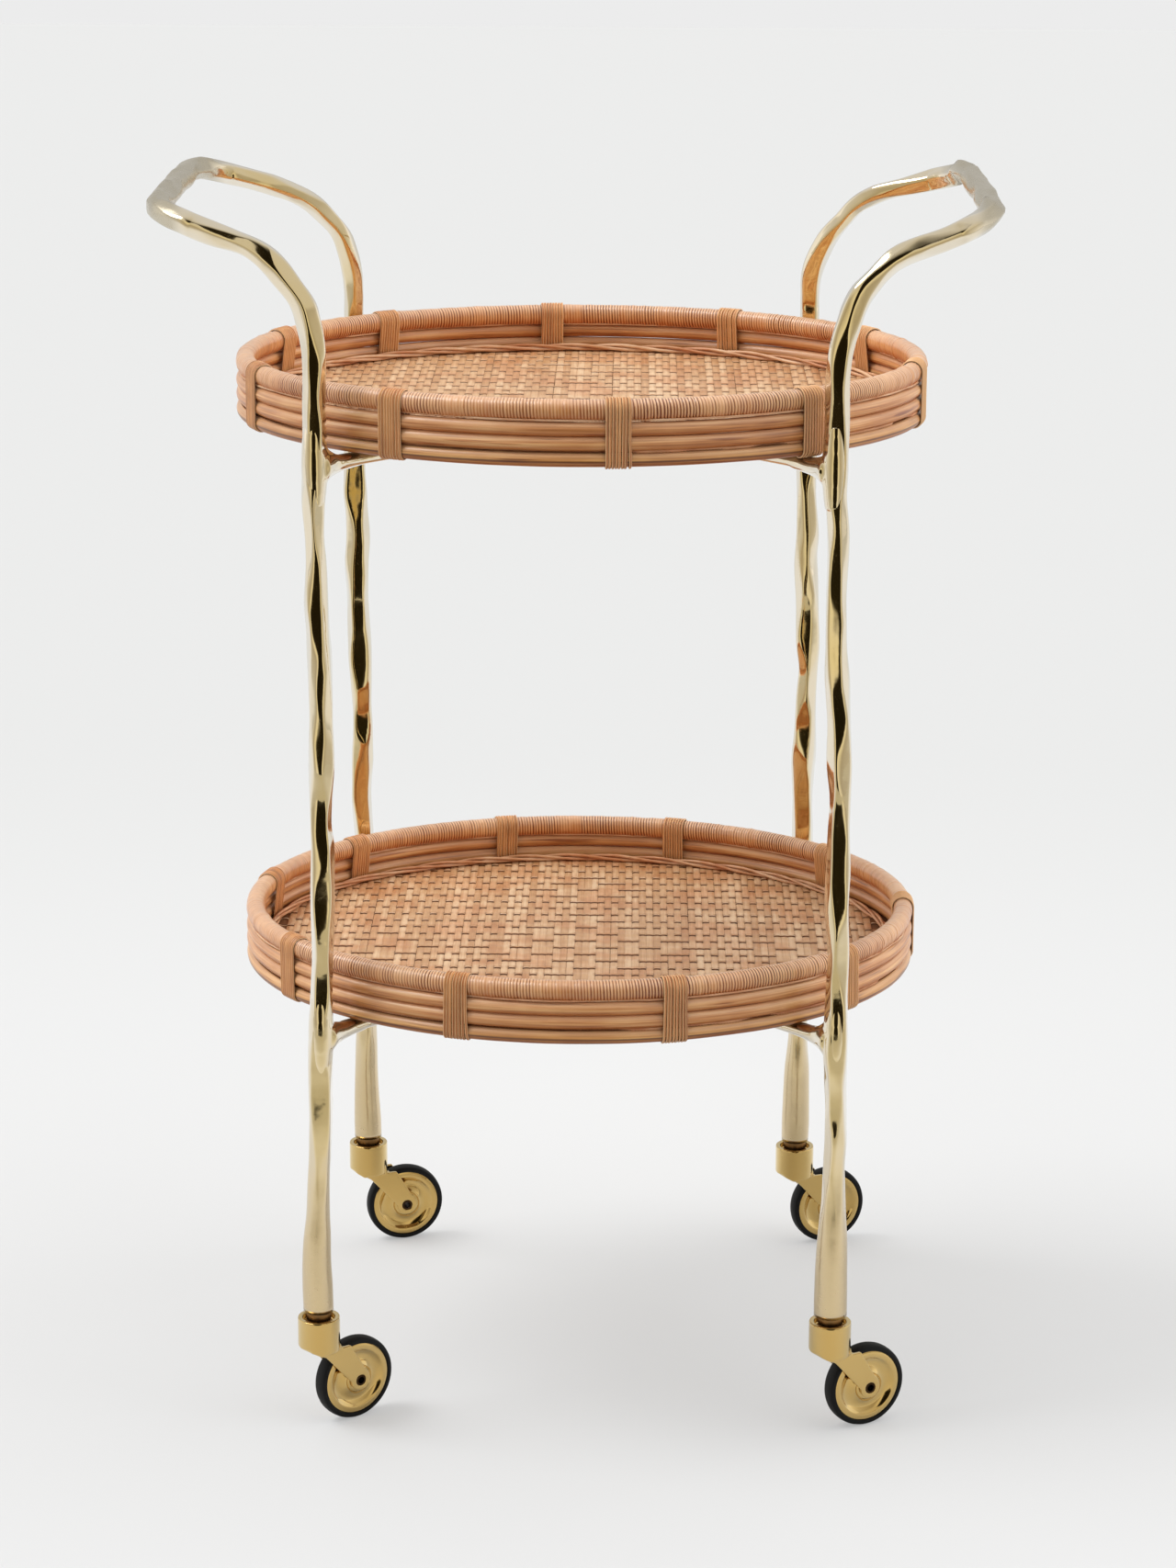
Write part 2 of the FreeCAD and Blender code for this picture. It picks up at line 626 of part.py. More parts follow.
def make_fork(corner, place):
    """The turning fork: a round collar with a recess, and two cheeks that reach down and back to the axle."""
    top = size("collar_top_height")
    bottom = top - size("collar_height")
    radius = half("collar_diameter")
    trail = size("caster_trail")
    axle = half("wheel_diameter")
    end = size("cheek_end_radius")
    overrun = size("cut_overrun")
    slot_half = half("tread_width") + size("wheel_side_clearance")
    fork_half = slot_half + size("cheek_thickness")
    heel = size("collar_heel_height")
    waist = size("cheek_waist_height")

    collar = cylinder(corner + "_collar", "sizes.collar_diameter / 2", "sizes.collar_height", bottom)
    lower_lean = math.atan2(trail, waist - axle)
    upper_lean = math.atan2(bottom - axle, trail - radius - size("cheek_ledge"))
    lower_touch = (trail - end * math.cos(lower_lean), axle - end * math.sin(lower_lean) / 2)
    upper_touch = (trail + end * math.sin(upper_lean), axle + end * math.cos(upper_lean))
    cheek_outline = (
        (-radius, heel), (0, waist), lower_touch, (trail, axle), upper_touch,
        (radius + size("cheek_ledge"), bottom), (radius - overrun, bottom), (radius - overrun, heel))
    cheeks = side_plate(corner + "_cheek_plate", cheek_outline, fork_half)
    ends = cross_cylinder(corner + "_cheek_ends", "sizes.cheek_end_radius", fork_half)
    blank = fuse(corner + "_fork_blank", [collar, cheeks, ends])

    heel_outline = (
        (-radius - overrun, heel), (-radius, heel), (0, waist),
        (0, bottom - radius), (-radius - overrun, bottom - radius))
    heel_cut = side_plate(corner + "_heel_cut", heel_outline, radius + overrun)
    slot = cross_cylinder(
        corner + "_wheel_slot", "sizes.wheel_diameter / 2 + sizes.wheel_top_clearance", slot_half)
    recess = cylinder(
        corner + "_recess", "sizes.recess_diameter / 2", "sizes.recess_depth + sizes.cut_overrun",
        top - size("recess_depth"))
    bore = cylinder(
        corner + "_pivot_bore", "sizes.pivot_diameter / 2 + sizes.turning_clearance",
        "sizes.collar_height + 2 * sizes.cut_overrun", bottom - overrun)
    head_room = cylinder(
        corner + "_head_room", "sizes.rivet_head_diameter / 2 + sizes.running_gap",
        "sizes.rivet_head_height + 2 * sizes.running_gap + sizes.cut_overrun",
        bottom - size("rivet_head_height") - 2 * size("running_gap") - overrun)
    axle_hole = cross_cylinder(corner + "_axle_hole", "sizes.axle_diameter / 2", fork_half + overrun)
    tools = compound(corner + "_fork_tools", [heel_cut, slot, recess, bore, head_room, axle_hole])
    fork = cut(corner + "_fork_cut", blank, tools)
    fork.Placement = place
    keep(fork, corner + "_caster_fork")

    pin = cross_cylinder(corner + "_pin", "sizes.axle_diameter / 2", fork_half)
    pin_bore = cross_cylinder(corner + "_pin_bore", "sizes.axle_bore_diameter / 2", fork_half + overrun)
    axle_pin = cut(corner + "_axle_cut", pin, pin_bore)
    axle_pin.Placement = place
    keep(axle_pin, corner + "_wheel_axle")


def make_wheel(corner, place):
    """The wheel: a turned brass disc with a dished web, a tyre round it and a bushing in its hub."""
    axle_place = place.multiply(Placement(
        Vector(size("caster_trail"), 0, half("wheel_diameter")), Rotation(Vector(1, 0, 0), 90)))
    seat = half("wheel_diameter") - size("tyre_thickness")
    rim_half = half("tread_width") - size("disc_rim_inset")
    web_half = half("disc_web_thickness")
    hub = half("wheel_hub_diameter")
    hub_half = half("tread_width") + size("wheel_side_clearance") - 2 * size("running_gap")
    bore = half("bushing_diameter")
    inner_rim = seat - size("disc_rim_width")
    step = web_half / 3
    upper = [
        (bore, hub_half), (hub - step, hub_half), (hub, hub_half - step), (hub + step, web_half),
        (inner_rim - step, web_half), (inner_rim, rim_half), (seat, rim_half)]
    lower = [(radius, -height) for radius, height in reversed(upper)]
    keep(turned(corner + "_disc_turned", upper + lower, axle_place), corner + "_wheel_disc")

    tread = half("wheel_diameter")
    tyre_half = half("tread_width")
    shoulder = size("tyre_shoulder")
    tyre_upper = [
        (seat, tyre_half), (tread - shoulder, tyre_half), (tread - shoulder / 3, tyre_half - shoulder / 3),
        (tread, tyre_half - shoulder)]
    tyre_lower = [(radius, -height) for radius, height in reversed(tyre_upper)]
    keep(turned(corner + "_tyre_turned", tyre_upper + tyre_lower, axle_place), corner + "_wheel_tyre")

    sleeve_bore = half("axle_diameter") + size("turning_clearance")
    sleeve_half = half("tread_width") + size("wheel_side_clearance") - size("running_gap")
    sleeve = (
        (sleeve_bore, -sleeve_half), (bore, -sleeve_half), (bore, sleeve_half), (sleeve_bore, sleeve_half))
    keep(turned(corner + "_bushing_turned", sleeve, axle_place), corner + "_wheel_bushing")


def make_caster(corner):
    foot = leg_point(corner, 0)
    swivel = Rotation(Vector(0, 0, 1), size(corner + "_trail_angle"))
    place = Placement(Vector(foot.x, foot.y, 0), swivel)
    make_stem(corner, place)
    make_bearing(corner, place)
    make_fork(corner, place)
    make_wheel(corner, place)


upper_board = make_tray("upper", size("upper_rim_height"), UPPER_BINDING_SHARES)
lower_board = make_tray("lower", size("lower_rim_height"), LOWER_BINDING_SHARES)
all_legs = [make_leg(corner) for corner in CASTER_NAMES]
make_handle("left")
make_handle("right")
fasten("upper", size("upper_rim_height"), upper_board,
       make_brace("upper", size("upper_rim_height"), all_legs))
fasten("lower", size("lower_rim_height"), lower_board,
       make_brace("lower", size("lower_rim_height"), all_legs))
for corner_name in CASTER_NAMES:
    make_caster(corner_name)
doc.recompute()

faults = []
for item in doc.Objects:
    if "Invalid" in item.State or "Error" in item.State:
        faults.append(item.Label + " failed to build")
for item in sub_parts:
    if item.Shape.isNull() or not item.Shape.isValid() or not item.Shape.Solids:
        faults.append(item.Label + " has no valid solid")
if faults:
    raise RuntimeError("; ".join(faults))

os.makedirs("parts", exist_ok=True)
for item in sub_parts:
    item.Shape.exportStep(os.path.join("parts", item.Label + ".step"))
    print(item.Label, len(item.Shape.Solids), "solids", round(item.Shape.Volume), "mm3")
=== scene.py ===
"""A wicker serving trolley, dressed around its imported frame: wound and woven rattan, cast brass and casters.

Metres, +Z up, front at -Y, floor at Z = 0, origin under the middle of the trays.
"""

import json
import math
import random

import bpy
import numpy as np
from mathutils import Matrix, Vector, noise

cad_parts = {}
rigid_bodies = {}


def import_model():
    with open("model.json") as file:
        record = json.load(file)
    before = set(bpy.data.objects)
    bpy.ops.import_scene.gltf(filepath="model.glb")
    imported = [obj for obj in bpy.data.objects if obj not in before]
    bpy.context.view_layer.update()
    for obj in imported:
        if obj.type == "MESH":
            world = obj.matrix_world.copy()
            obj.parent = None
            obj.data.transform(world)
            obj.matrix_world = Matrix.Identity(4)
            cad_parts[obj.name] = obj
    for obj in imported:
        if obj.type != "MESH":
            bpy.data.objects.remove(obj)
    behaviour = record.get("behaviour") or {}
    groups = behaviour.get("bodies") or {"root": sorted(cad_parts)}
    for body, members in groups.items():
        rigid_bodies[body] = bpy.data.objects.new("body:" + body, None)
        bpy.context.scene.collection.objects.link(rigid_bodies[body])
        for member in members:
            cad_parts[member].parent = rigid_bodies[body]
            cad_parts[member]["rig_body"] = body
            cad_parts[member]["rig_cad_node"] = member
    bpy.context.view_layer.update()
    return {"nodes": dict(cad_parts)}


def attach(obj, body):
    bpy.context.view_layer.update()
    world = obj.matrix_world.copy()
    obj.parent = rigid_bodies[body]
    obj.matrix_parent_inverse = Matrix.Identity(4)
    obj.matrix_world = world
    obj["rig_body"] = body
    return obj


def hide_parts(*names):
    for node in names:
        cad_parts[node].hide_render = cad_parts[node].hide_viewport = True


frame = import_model()
bpy.ops.object.select_all(action="DESELECT")

FRAME_BODY = "frame_and_trays"
CORNERS = ("front_left", "front_right", "back_left", "back_right")
MM = 0.001

# The oval of the trays, and the drops below the rim's middle line.
HALF_LENGTH = 0.245
HALF_DEPTH = 0.210
RIM_HEIGHTS = {"upper": 0.767, "lower": 0.351}
RIM_RADIUS = 7.1 * MM
SIDE_POLES = (
    # name, radius, grow, drop
    ("first_side_pole", 5.0 * MM, 2.1 * MM, 13.4 * MM),
    ("second_side_pole", 5.2 * MM, 1.9 * MM, 23.4 * MM),
    ("base_pole", 5.0 * MM, 2.1 * MM, 34.53 * MM),
)
MAT_DROP = 28.3 * MM
MAT_BOTTOM_DROP = 29.53 * MM
SHADE_SHEET_GROW = 4.4 * MM
TRIM_DROP = 24.93 * MM
TRIM_INSET = 10.1 * MM
BINDING_SHARES = {
    "upper": (0.018, 0.112, 0.217, 0.330, 0.424, 0.517, 0.608, 0.688, 0.810, 0.914),
    "lower": (0.046, 0.145, 0.250, 0.354, 0.451, 0.541, 0.631, 0.713, 0.841, 0.945),
}
# Middle lines of the legs and hoops.
LEG_DEPTH_REACH = 0.180
LEG_REACHES = {"front": (0.1875, 0.1795), "back": (0.175, 0.177)}
FOOT_HEIGHT = 0.092
LEG_TOP_HEIGHT = 0.789
LEG_LENGTH = LEG_TOP_HEIGHT - FOOT_HEIGHT
HOOP_REACHES = {"left": 0.293, "right": 0.285}
HOOP_DEPTH_REACH = 0.137
HOOP_HEIGHT = 0.8895
HOOP_CORNER_RADIUS = 0.024
HOOP_BOW = 0.0035
HOOP_SHARES = (
    # out, rise and inward in depth, from a leg's top to the hoop's corner
    (0.01, 0.16, 0.05), (0.045, 0.32, 0.12), (0.1, 0.477, 0.2), (0.18, 0.596, 0.28), (0.27, 0.706, 0.36),
    (0.38, 0.785, 0.46), (0.5, 0.835, 0.56), (0.63, 0.875, 0.67), (0.75, 0.915, 0.78),
)
TRAIL_ANGLES = {"front_left": 38, "front_right": 28, "back_left": 17, "back_right": 22}
WHEEL_RADIUS = 31.5 * MM
CASTER_TRAIL = 30 * MM
# The photograph's viewpoint: place, direction, roll in degrees and lens in millimetres.
CAMERA_PLACE = (0.0394, -2.864, 1.246)
CAMERA_AIM = (-0.01119, 0.96287, -0.26973)
CAMERA_ROLL = 0.269
CAMERA_LENS = 90.69


# Finishes

def linear(colour):
    """A colour for a shader: three numbers say how it is seen, 0 to 255, and four are linear already."""
    if len(colour) == 4:
        return colour
    shares = [part / 255 for part in colour]
    return (*(share / 12.92 if share < 0.04045 else ((share + 0.055) / 1.055) ** 2.4 for share in shares), 1.0)


class Wire:
    """A shader socket that takes signs: each sign between wires or numbers adds a Math node."""

    def __init__(self, finish, socket):
        self.finish = finish
        self.socket = socket

    def math(self, operation, first, second):
        return self.finish.node("Math", {"operation": operation}, {0: first, 1: second})


for sign, job in (("add", "ADD"), ("sub", "SUBTRACT"), ("mul", "MULTIPLY"), ("truediv", "DIVIDE"), ("pow", "POWER")):
    setattr(Wire, f"__{sign}__", lambda self, other, job=job: self.math(job, self, other))
    setattr(Wire, f"__r{sign}__", lambda self, other, job=job: self.math(job, other, self))


class Finish:
    """A tree of shader nodes under construction."""

    def __init__(self, tree):
        self.tree = tree
        tree.nodes.clear()

    def node(self, kind, settings=None, inputs=None, output=0):
        """Adds a node: its settings first, then the values or wires of its sockets."""
        made = self.tree.nodes.new("ShaderNode" + kind)
        for name, value in (settings or {}).items():
            setattr(made, name, value)
        for key, value in (inputs or {}).items():
            socket = made.inputs[key]
            if isinstance(value, Wire):
                self.tree.links.new(value.socket, socket)
            else:
                socket.default_value = linear(value) if socket.type == "RGBA" else value
        return Wire(self, made.outputs[output]) if made.outputs else None

    def place(self):
        """The point of the surface in the row frame."""
        return self.node("TexCoord", output="Object")

    def kept(self, name):
        """A number that the piece keeps for each of its points."""
        return self.node("Attribute", {"attribute_name": name}, output="Fac")

    def ray(self, kind):
        """1 for camera rays, or for glossy ones."""
        return self.node("LightPath", output="Is " + kind + " Ray")

    def stretch(self, vector, x, y, z):
        return self.node("VectorMath", {"operation": "MULTIPLY"}, {0: vector, 1: (x, y, z)})

    def parts(self, vector):
        """The three numbers of a vector."""
        made = self.node("SeparateXYZ", None, {0: vector})
        return [Wire(self, socket) for socket in made.socket.node.outputs]

    def cloud(self, scale, detail=2.0, stretch=(1, 1, 1)):
        """Noise from 0 to 1 over the piece."""
        vector = self.stretch(self.place(), *stretch)
        return self.node("TexNoise", None, {"Vector": vector, "Scale": scale, "Detail": detail})

    def grain(self, length_scale, cross_scale, height_scale, detail=3.0):
        """Noise drawn out along the oval of a tray: lengthwise scale, then across the pole and upward."""
        place = self.place()
        x, y, _ = self.parts(place)
        outward = ((x / HALF_LENGTH) ** 2 + (y / HALF_DEPTH) ** 2) ** 0.5 * HALF_DEPTH
        vector = self.stretch(place, length_scale, length_scale, height_scale)
        return self.node(
            "TexNoise", {"noise_dimensions": "4D"},
            {"Vector": vector, "W": outward * cross_scale, "Scale": 1.0, "Detail": detail})

    def ramp(self, factor, *pairs):
        """Colours along a factor, from (place, colour) pairs."""
        made = self.node("ValToRGB", None, {"Fac": factor})
        stops = made.socket.node.color_ramp.elements
        for index, (place, colour) in enumerate(pairs):
            stop = stops[index] if index < 2 else stops.new(place)
            stop.position = place
            stop.color = linear(colour)
        return made

    def mix(self, factor, first, second, blend="MIX"):
        return self.node("Mix", {"data_type": "RGBA", "blend_type": blend}, {0: factor, 6: first, 7: second}, 2)

    def sheen_above_shade_below(self, colour, pale, warm):
        """Cane paler on its upper side as a painted sheen, and deeper orange on its underside as painted warm shade.
        """
        up = self.kept("up")
        sheened = self.mix(0.38 * self.step(up, 0.0, 0.9), colour, pale)
        return self.mix(0.5 - 0.5 * self.step(up, -0.85, -0.05), sheened, warm)

    def lacquer(self, weight):
        """Lacquer that lies thick on the upper side and thin below."""
        return weight * self.step(self.kept("up"), -0.6, 0.2)

    def step(self, value, low, high):
        """0 below low, 1 above high, smooth between."""
        settings = {"interpolation_type": "SMOOTHSTEP"}
        return self.node("MapRange", settings, {"Value": value, "From Min": low, "From Max": high})

    def bump(self, height, distance, strength=0.5):
        return self.node("Bump", None, {"Height": height, "Distance": distance, "Strength": strength})


def surface(name, paint, *values, **more):
    """A material whose paint function returns the sockets of its Principled shader, or another shader."""
    material = bpy.data.materials.new(name)
    material.use_nodes = True
    finish = Finish(material.node_tree)
    shader = paint(finish, *values, **more)
    if isinstance(shader, dict):
        shader = finish.node("BsdfPrincipled", None, shader)
    finish.node("OutputMaterial", None, {"Surface": shader})
    return material


# Heights between which the dull feet turn bright, and squares of the reach between which the bars turn dull.
FOOT_TINT_HEIGHTS = (0.13, 0.25)
BAR_TINT_REACH = (0.0735, 0.08)


def cast_brass(f, facing, slanting_sheen, edge, rough, dulling=0.0):
    """Polished cast brass: rich facing the eye, paled by a painted sheen where it turns away, duller low down and on
    the bars.
    """
    clouding = f.cloud(38.0, 3.0)
    pits = f.cloud(420.0)
    dimples = f.cloud(95.0, 1.0)
    # How far the surface turns from the eye sets a painted sheen: rich facing, pale on the flanks, nearly white at the
    # edges.
    turned = f.node("LayerWeight", None, {"Blend": 0.5}, "Facing")
    metal = f.ramp(turned + 0.1 * clouding, (0.06, facing), (0.34, slanting_sheen), (0.85, edge))
    length, _, height = f.parts(f.place())
    foot = dulling * (1 - f.step(height, *FOOT_TINT_HEIGHTS))
    bar = dulling * f.step(length * length, *BAR_TINT_REACH)
    # Low down and on the bars the colour is tinted and the surface rougher.
    metal = f.mix(bar * 0.85, metal, (192, 182, 160))
    return {
        "Base Color": f.mix(foot * 0.8, metal, (214, 192, 152)),
        "Metallic": 1.0,
        "Roughness": rough + 0.10 * f.step(pits, 0.6, 0.8) + 0.16 * foot + 0.2 * bar,
        "Normal": f.bump(dimples + 0.04 * pits, 0.25 * MM),
    }


def pole_rattan(f, dark, middle, light):
    """A peeled rattan pole: long fibres, darker growth streaks and a lacquer that shines along its back."""
    fibres = f.grain(15.0, 800.0, 800.0)
    broad = f.grain(12.0, 260.0, 260.0, 2.0)
    streaks = f.step(f.grain(17.0, 380.0, 380.0, 1.0), 0.62, 0.72)
    patches = f.cloud(26.0)
    low = f.kept("low")
    tone = fibres * 0.5 + broad * 0.28 + patches * 0.22 - 0.14 * streaks - 0.1 * low
    cane = f.ramp(tone, (0.3, dark), (0.48, middle), (0.62, light))
    return {
        # Paler on top as a painted sheen and deeper orange below as painted warm shade.
        "Base Color": f.mix(low * (1 - low) * 3.2, f.sheen_above_shade_below(cane, (240, 204, 170), (176, 88, 30)), (88, 40, 10)),
        "Roughness": 0.3 + 0.16 * fibres,
        "Coat Weight": f.lacquer(0.6),
        "Coat Roughness": 0.3,
        "Normal": f.bump(fibres + streaks, 0.3 * MM),
    }


def wound_cane(f, dark, middle, light):
    """Cane wound round the rim: each turn has its own tone, with a painted highlight along its ridge and painted shade
    between turns.
    """
    turns = f.grain(260.0, 14.0, 14.0, 1.0)
    stretches = f.cloud(20.0)
    groove = f.kept("groove")
    cane = f.ramp(turns * 0.4 + stretches * 0.6, (0.36, dark), (0.5, middle), (0.64, light))
    # Painted light on the turns: a painted highlight along each ridge, and painted shade between turns below.
    ridge_lit = f.mix(f.step(groove, 0.0, 0.45), (244, 196, 148), cane)
    return {
        # Paler on top as a painted sheen and deeper orange below as painted warm shade.
        "Base Color": f.mix(
            f.step(groove, 0.4, 0.95), f.sheen_above_shade_below(ridge_lit, (240, 206, 176), (188, 84, 18)), (116, 52, 12)),
        "Roughness": 0.3 + 0.12 * turns,
        "Coat Weight": f.lacquer(0.9),
        "Coat Roughness": 0.28,
        "Normal": f.bump(f.cloud(1500.0), 0.1 * MM, 0.4),
    }


def strand_cane(f, dark, middle, light, along, edge, gap_shade):
    """Split cane strands, each with a tone of its own: shade 0 is the middle, 0.5 the edge colour, 1 the gap colour,
    both painted light.
    """
    shade = f.kept("shade")
    fibres = f.cloud(1.0, stretch=along)
    patches = f.cloud(70.0)
    tone = f.kept("tone") * 0.25 + fibres * 0.35 + patches * 0.4
    cane = f.ramp(tone, (0.32, dark), (0.5, middle), (0.66, light))
    cane = f.mix(0.45 * f.step(f.cloud(28.0, 1.0), 0.45, 0.62), cane, (236, 190, 152), "MULTIPLY")
    # On the bindings the edge colour is a painted highlight, on the mat painted shade; the gap colour is painted
    # shade.
    edge_painted = f.mix(f.step(shade, 0.0, 0.5), cane, edge)
    return {
        "Base Color": f.mix(f.step(shade, 0.5, 1.0), edge_painted, gap_shade),
        "Roughness": 0.38 + 0.2 * fibres,
        "Coat Weight": 0.4,
        "Coat Roughness": 0.3,
        "Normal": f.bump(fibres, 0.2 * MM),
    }


def plain_stuff(f, first, second, scale, rough, metal=0.0, gleam=0.5):
    """A simple stuff with two close tones."""
    clouds = f.cloud(scale, 3.0)
    return {
        "Base Color": f.ramp(clouds, (0.35, first), (0.65, second)),
        "Metallic": metal,
        "Specular IOR Level": gleam,
        "Roughness": rough + 0.12 * clouds,
        "Normal": f.bump(clouds, 0.1 * MM, 0.4),
    }


def board_grain(f):
    """Plain sawn board under the trays."""
    grain = f.cloud(1.0, 4.0, (7.0, 160.0, 160.0))
    return {
        "Base Color": f.ramp(grain, (0.35, (150, 112, 74)), (0.65, (196, 160, 116))),
        "Roughness": 0.62,
        "Normal": f.bump(grain, 0.3 * MM),
    }


# The last two colours of a strand cane are painted light: on the bindings a painted highlight at the sides and painted
# shade between strands; on the mat painted shade at the sides and where warps dive. The trim never shows them.
MAT_EDGE_AND_GAP_SHADES = (188, 138, 92), (134, 84, 42)
FRAME_BRASS = surface("frame_brass", cast_brass, (226, 200, 138), (230, 217, 192), (238, 234, 226), 0.07, 1.0)
CASTER_BRASS = surface("caster_brass", cast_brass, (204, 169, 100), (214, 184, 122), (232, 212, 166), 0.1)
POLE = surface("rattan_pole", pole_rattan, (146, 76, 28), (212, 142, 82), (242, 188, 128))
BASE_POLE = surface("rattan_base_pole", pole_rattan, (130, 70, 20), (206, 140, 74), (238, 182, 112))
WINDING = surface("cane_winding", wound_cane, (184, 106, 46), (214, 140, 76), (238, 176, 116))
BINDING = surface(
    "binding_cane", strand_cane, (158, 92, 42), (194, 124, 66), (218, 154, 94), (260.0, 260.0, 30.0),
    (242, 194, 140), (92, 44, 12))
WARP = surface(
    "mat_warp", strand_cane, (194, 144, 96), (215, 171, 126), (232, 197, 157), (700.0, 22.0, 60.0), *MAT_EDGE_AND_GAP_SHADES)
WEFT = surface(
    "mat_weft", strand_cane, (196, 144, 98), (216, 170, 128), (232, 196, 160), (22.0, 700.0, 60.0), *MAT_EDGE_AND_GAP_SHADES)
TRIM = surface(
    "trim_cane", strand_cane, (186, 122, 76), (216, 158, 112), (238, 196, 156), (60.0, 60.0, 60.0),
    (220, 166, 122), (96, 46, 16))
# Painted shade: the dark sheet under each mat.
SHADE = surface("mat_backing", plain_stuff, (116, 72, 36), (148, 96, 54), 90.0, 0.8)
BOARD = surface("board_wood", board_grain)
STEEL = surface("stem_steel", plain_stuff, (120, 88, 52), (150, 116, 74), 60.0, 0.26, 1.0)
AXLE = surface("axle_steel", plain_stuff, (48, 34, 22), (70, 50, 32), 60.0, 0.3, 1.0)
PLASTIC = surface("bushing_plastic", plain_stuff, (36, 34, 34), (48, 46, 46), 60.0, 0.5)
RUBBER = surface("tyre_rubber", plain_stuff, (7, 7, 7), (12, 12, 12), 160.0, 0.5, gleam=0.22)


# Tools of the bench

def only(piece):
    """Leaves one piece selected and active."""
    bpy.ops.object.select_all(action="DESELECT")
    piece.select_set(True)
    bpy.context.view_layer.objects.active = piece


def add(family, shape, name, **settings):
    """A primitive, alone in the selection."""
    bpy.ops.object.select_all(action="DESELECT")
    getattr(getattr(bpy.ops, family), "primitive_" + shape + "_add")(**settings)
    piece = bpy.context.object
    piece.name = name
    return piece


def thicken(path, radius, rounding, steps):
    """Makes a mesh rod of a curve that is active."""
    path.data.bevel_depth = radius
    path.data.bevel_resolution = rounding
    path.data.resolution_u = steps
    bpy.ops.object.convert(target="MESH")
    return bpy.context.object


def meshed(name, points, faces):
    """A new piece from points and faces."""
    mesh = bpy.data.meshes.new(name)
    mesh.from_pydata(points.reshape(-1, 3).tolist(), [], faces)
    piece = bpy.data.objects.new(name, mesh)
    bpy.context.scene.collection.objects.link(piece)
    return piece


def twin(piece, name):
    """A copy of a piece with its own mesh."""
    made = piece.copy()
    made.data = piece.data.copy()
    made.name = name
    bpy.context.scene.collection.objects.link(made)
    return made


def modify(piece, kind, **settings):
    """Puts a modifier on a piece and applies it."""
    only(piece)
    modifier = piece.modifiers.new(kind, kind)
    for name, value in settings.items():
        setattr(modifier, name, value)
    bpy.ops.object.modifier_apply(modifier=modifier.name)


def weld(piece, distance=0.01 * MM):
    """Merges doubled points and turns the faces outward."""
    only(piece)
    bpy.ops.object.mode_set(mode="EDIT")
    bpy.ops.mesh.select_all(action="SELECT")
    bpy.ops.mesh.remove_doubles(threshold=distance)
    bpy.ops.mesh.normals_make_consistent(inside=False)
    bpy.ops.object.mode_set(mode="OBJECT")


def coat(piece, finish):
    """Gives a piece one finish."""
    piece.data.materials.clear()
    piece.data.materials.append(finish)


def settle(piece, finish, slot, *nodes, body=FRAME_BODY, smooth=60):
    """Leaves a finished piece at the origin, gives it its finish and sets it on its body for CAD nodes."""
    only(piece)
    bpy.ops.object.transform_apply()
    bpy.ops.object.shade_smooth_by_angle(angle=math.radians(smooth))
    coat(piece, finish)
    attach(piece, body)
    if nodes:
        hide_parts(*nodes)


def carry(finish, *nodes):
    """Gives CAD nodes that stay in sight their finish."""
    for node in nodes:
        coat(frame["nodes"][node], finish)


def points_of(piece):
    """A piece's points, one to a row."""
    points = np.zeros(len(piece.data.vertices) * 3)
    piece.data.vertices.foreach_get("co", points)
    return points.reshape(-1, 3)


def move_points(piece, mover):
    """Moves every point of a piece by a function on an array of points."""
    piece.data.vertices.foreach_set("co", mover(points_of(piece)).ravel())
    piece.data.update()


def mark(piece, name, values):
    """Keeps one number per point for a finish to read."""
    piece.data.attributes.new(name, "FLOAT", "POINT").data.foreach_set("value", np.asarray(values, np.float32))


def skin(points, after):
    """Faces over rings of numbered points: a point, the one after it round the ring, and these two a ring on."""
    return np.stack([points, after, np.roll(after, -1, 0), np.roll(points, -1, 0)], -1)


def laid(name, strands, closed=False):
    """One mesh from many strands: for each its rings of points, its tone and how deep in shade its points are."""
    faces = []
    base = 0
    for rings, _, _ in strands:
        numbers = base + np.arange(rings.size // 3).reshape(rings.shape[:2])
        sides = skin(numbers, np.roll(numbers, -1, 1))
        faces += sides[:None if closed else -1].reshape(-1, 4).tolist()
        if not closed:
            faces += [numbers[0, ::-1].tolist(), numbers[-1].tolist()]
        base += numbers.size
    piece = meshed(name, np.concatenate([rings.reshape(-1, 3) for rings, _, _ in strands]), faces)
    for part, kept in ((1, "tone"), (2, "shade")):
        values = [np.broadcast_to(strand[part], strand[0].shape[:2]).ravel() for strand in strands]
        mark(piece, kept, np.concatenate(values))
    weld(piece, 0.001 * MM)
    return piece


def soft_noise(values, seed):
    """Smooth noise along an array of numbers."""
    return np.array([noise.noise(Vector((value, seed * 7.31, 0.5))) for value in values])


# The oval of a tray

OVAL_STEPS = 4096


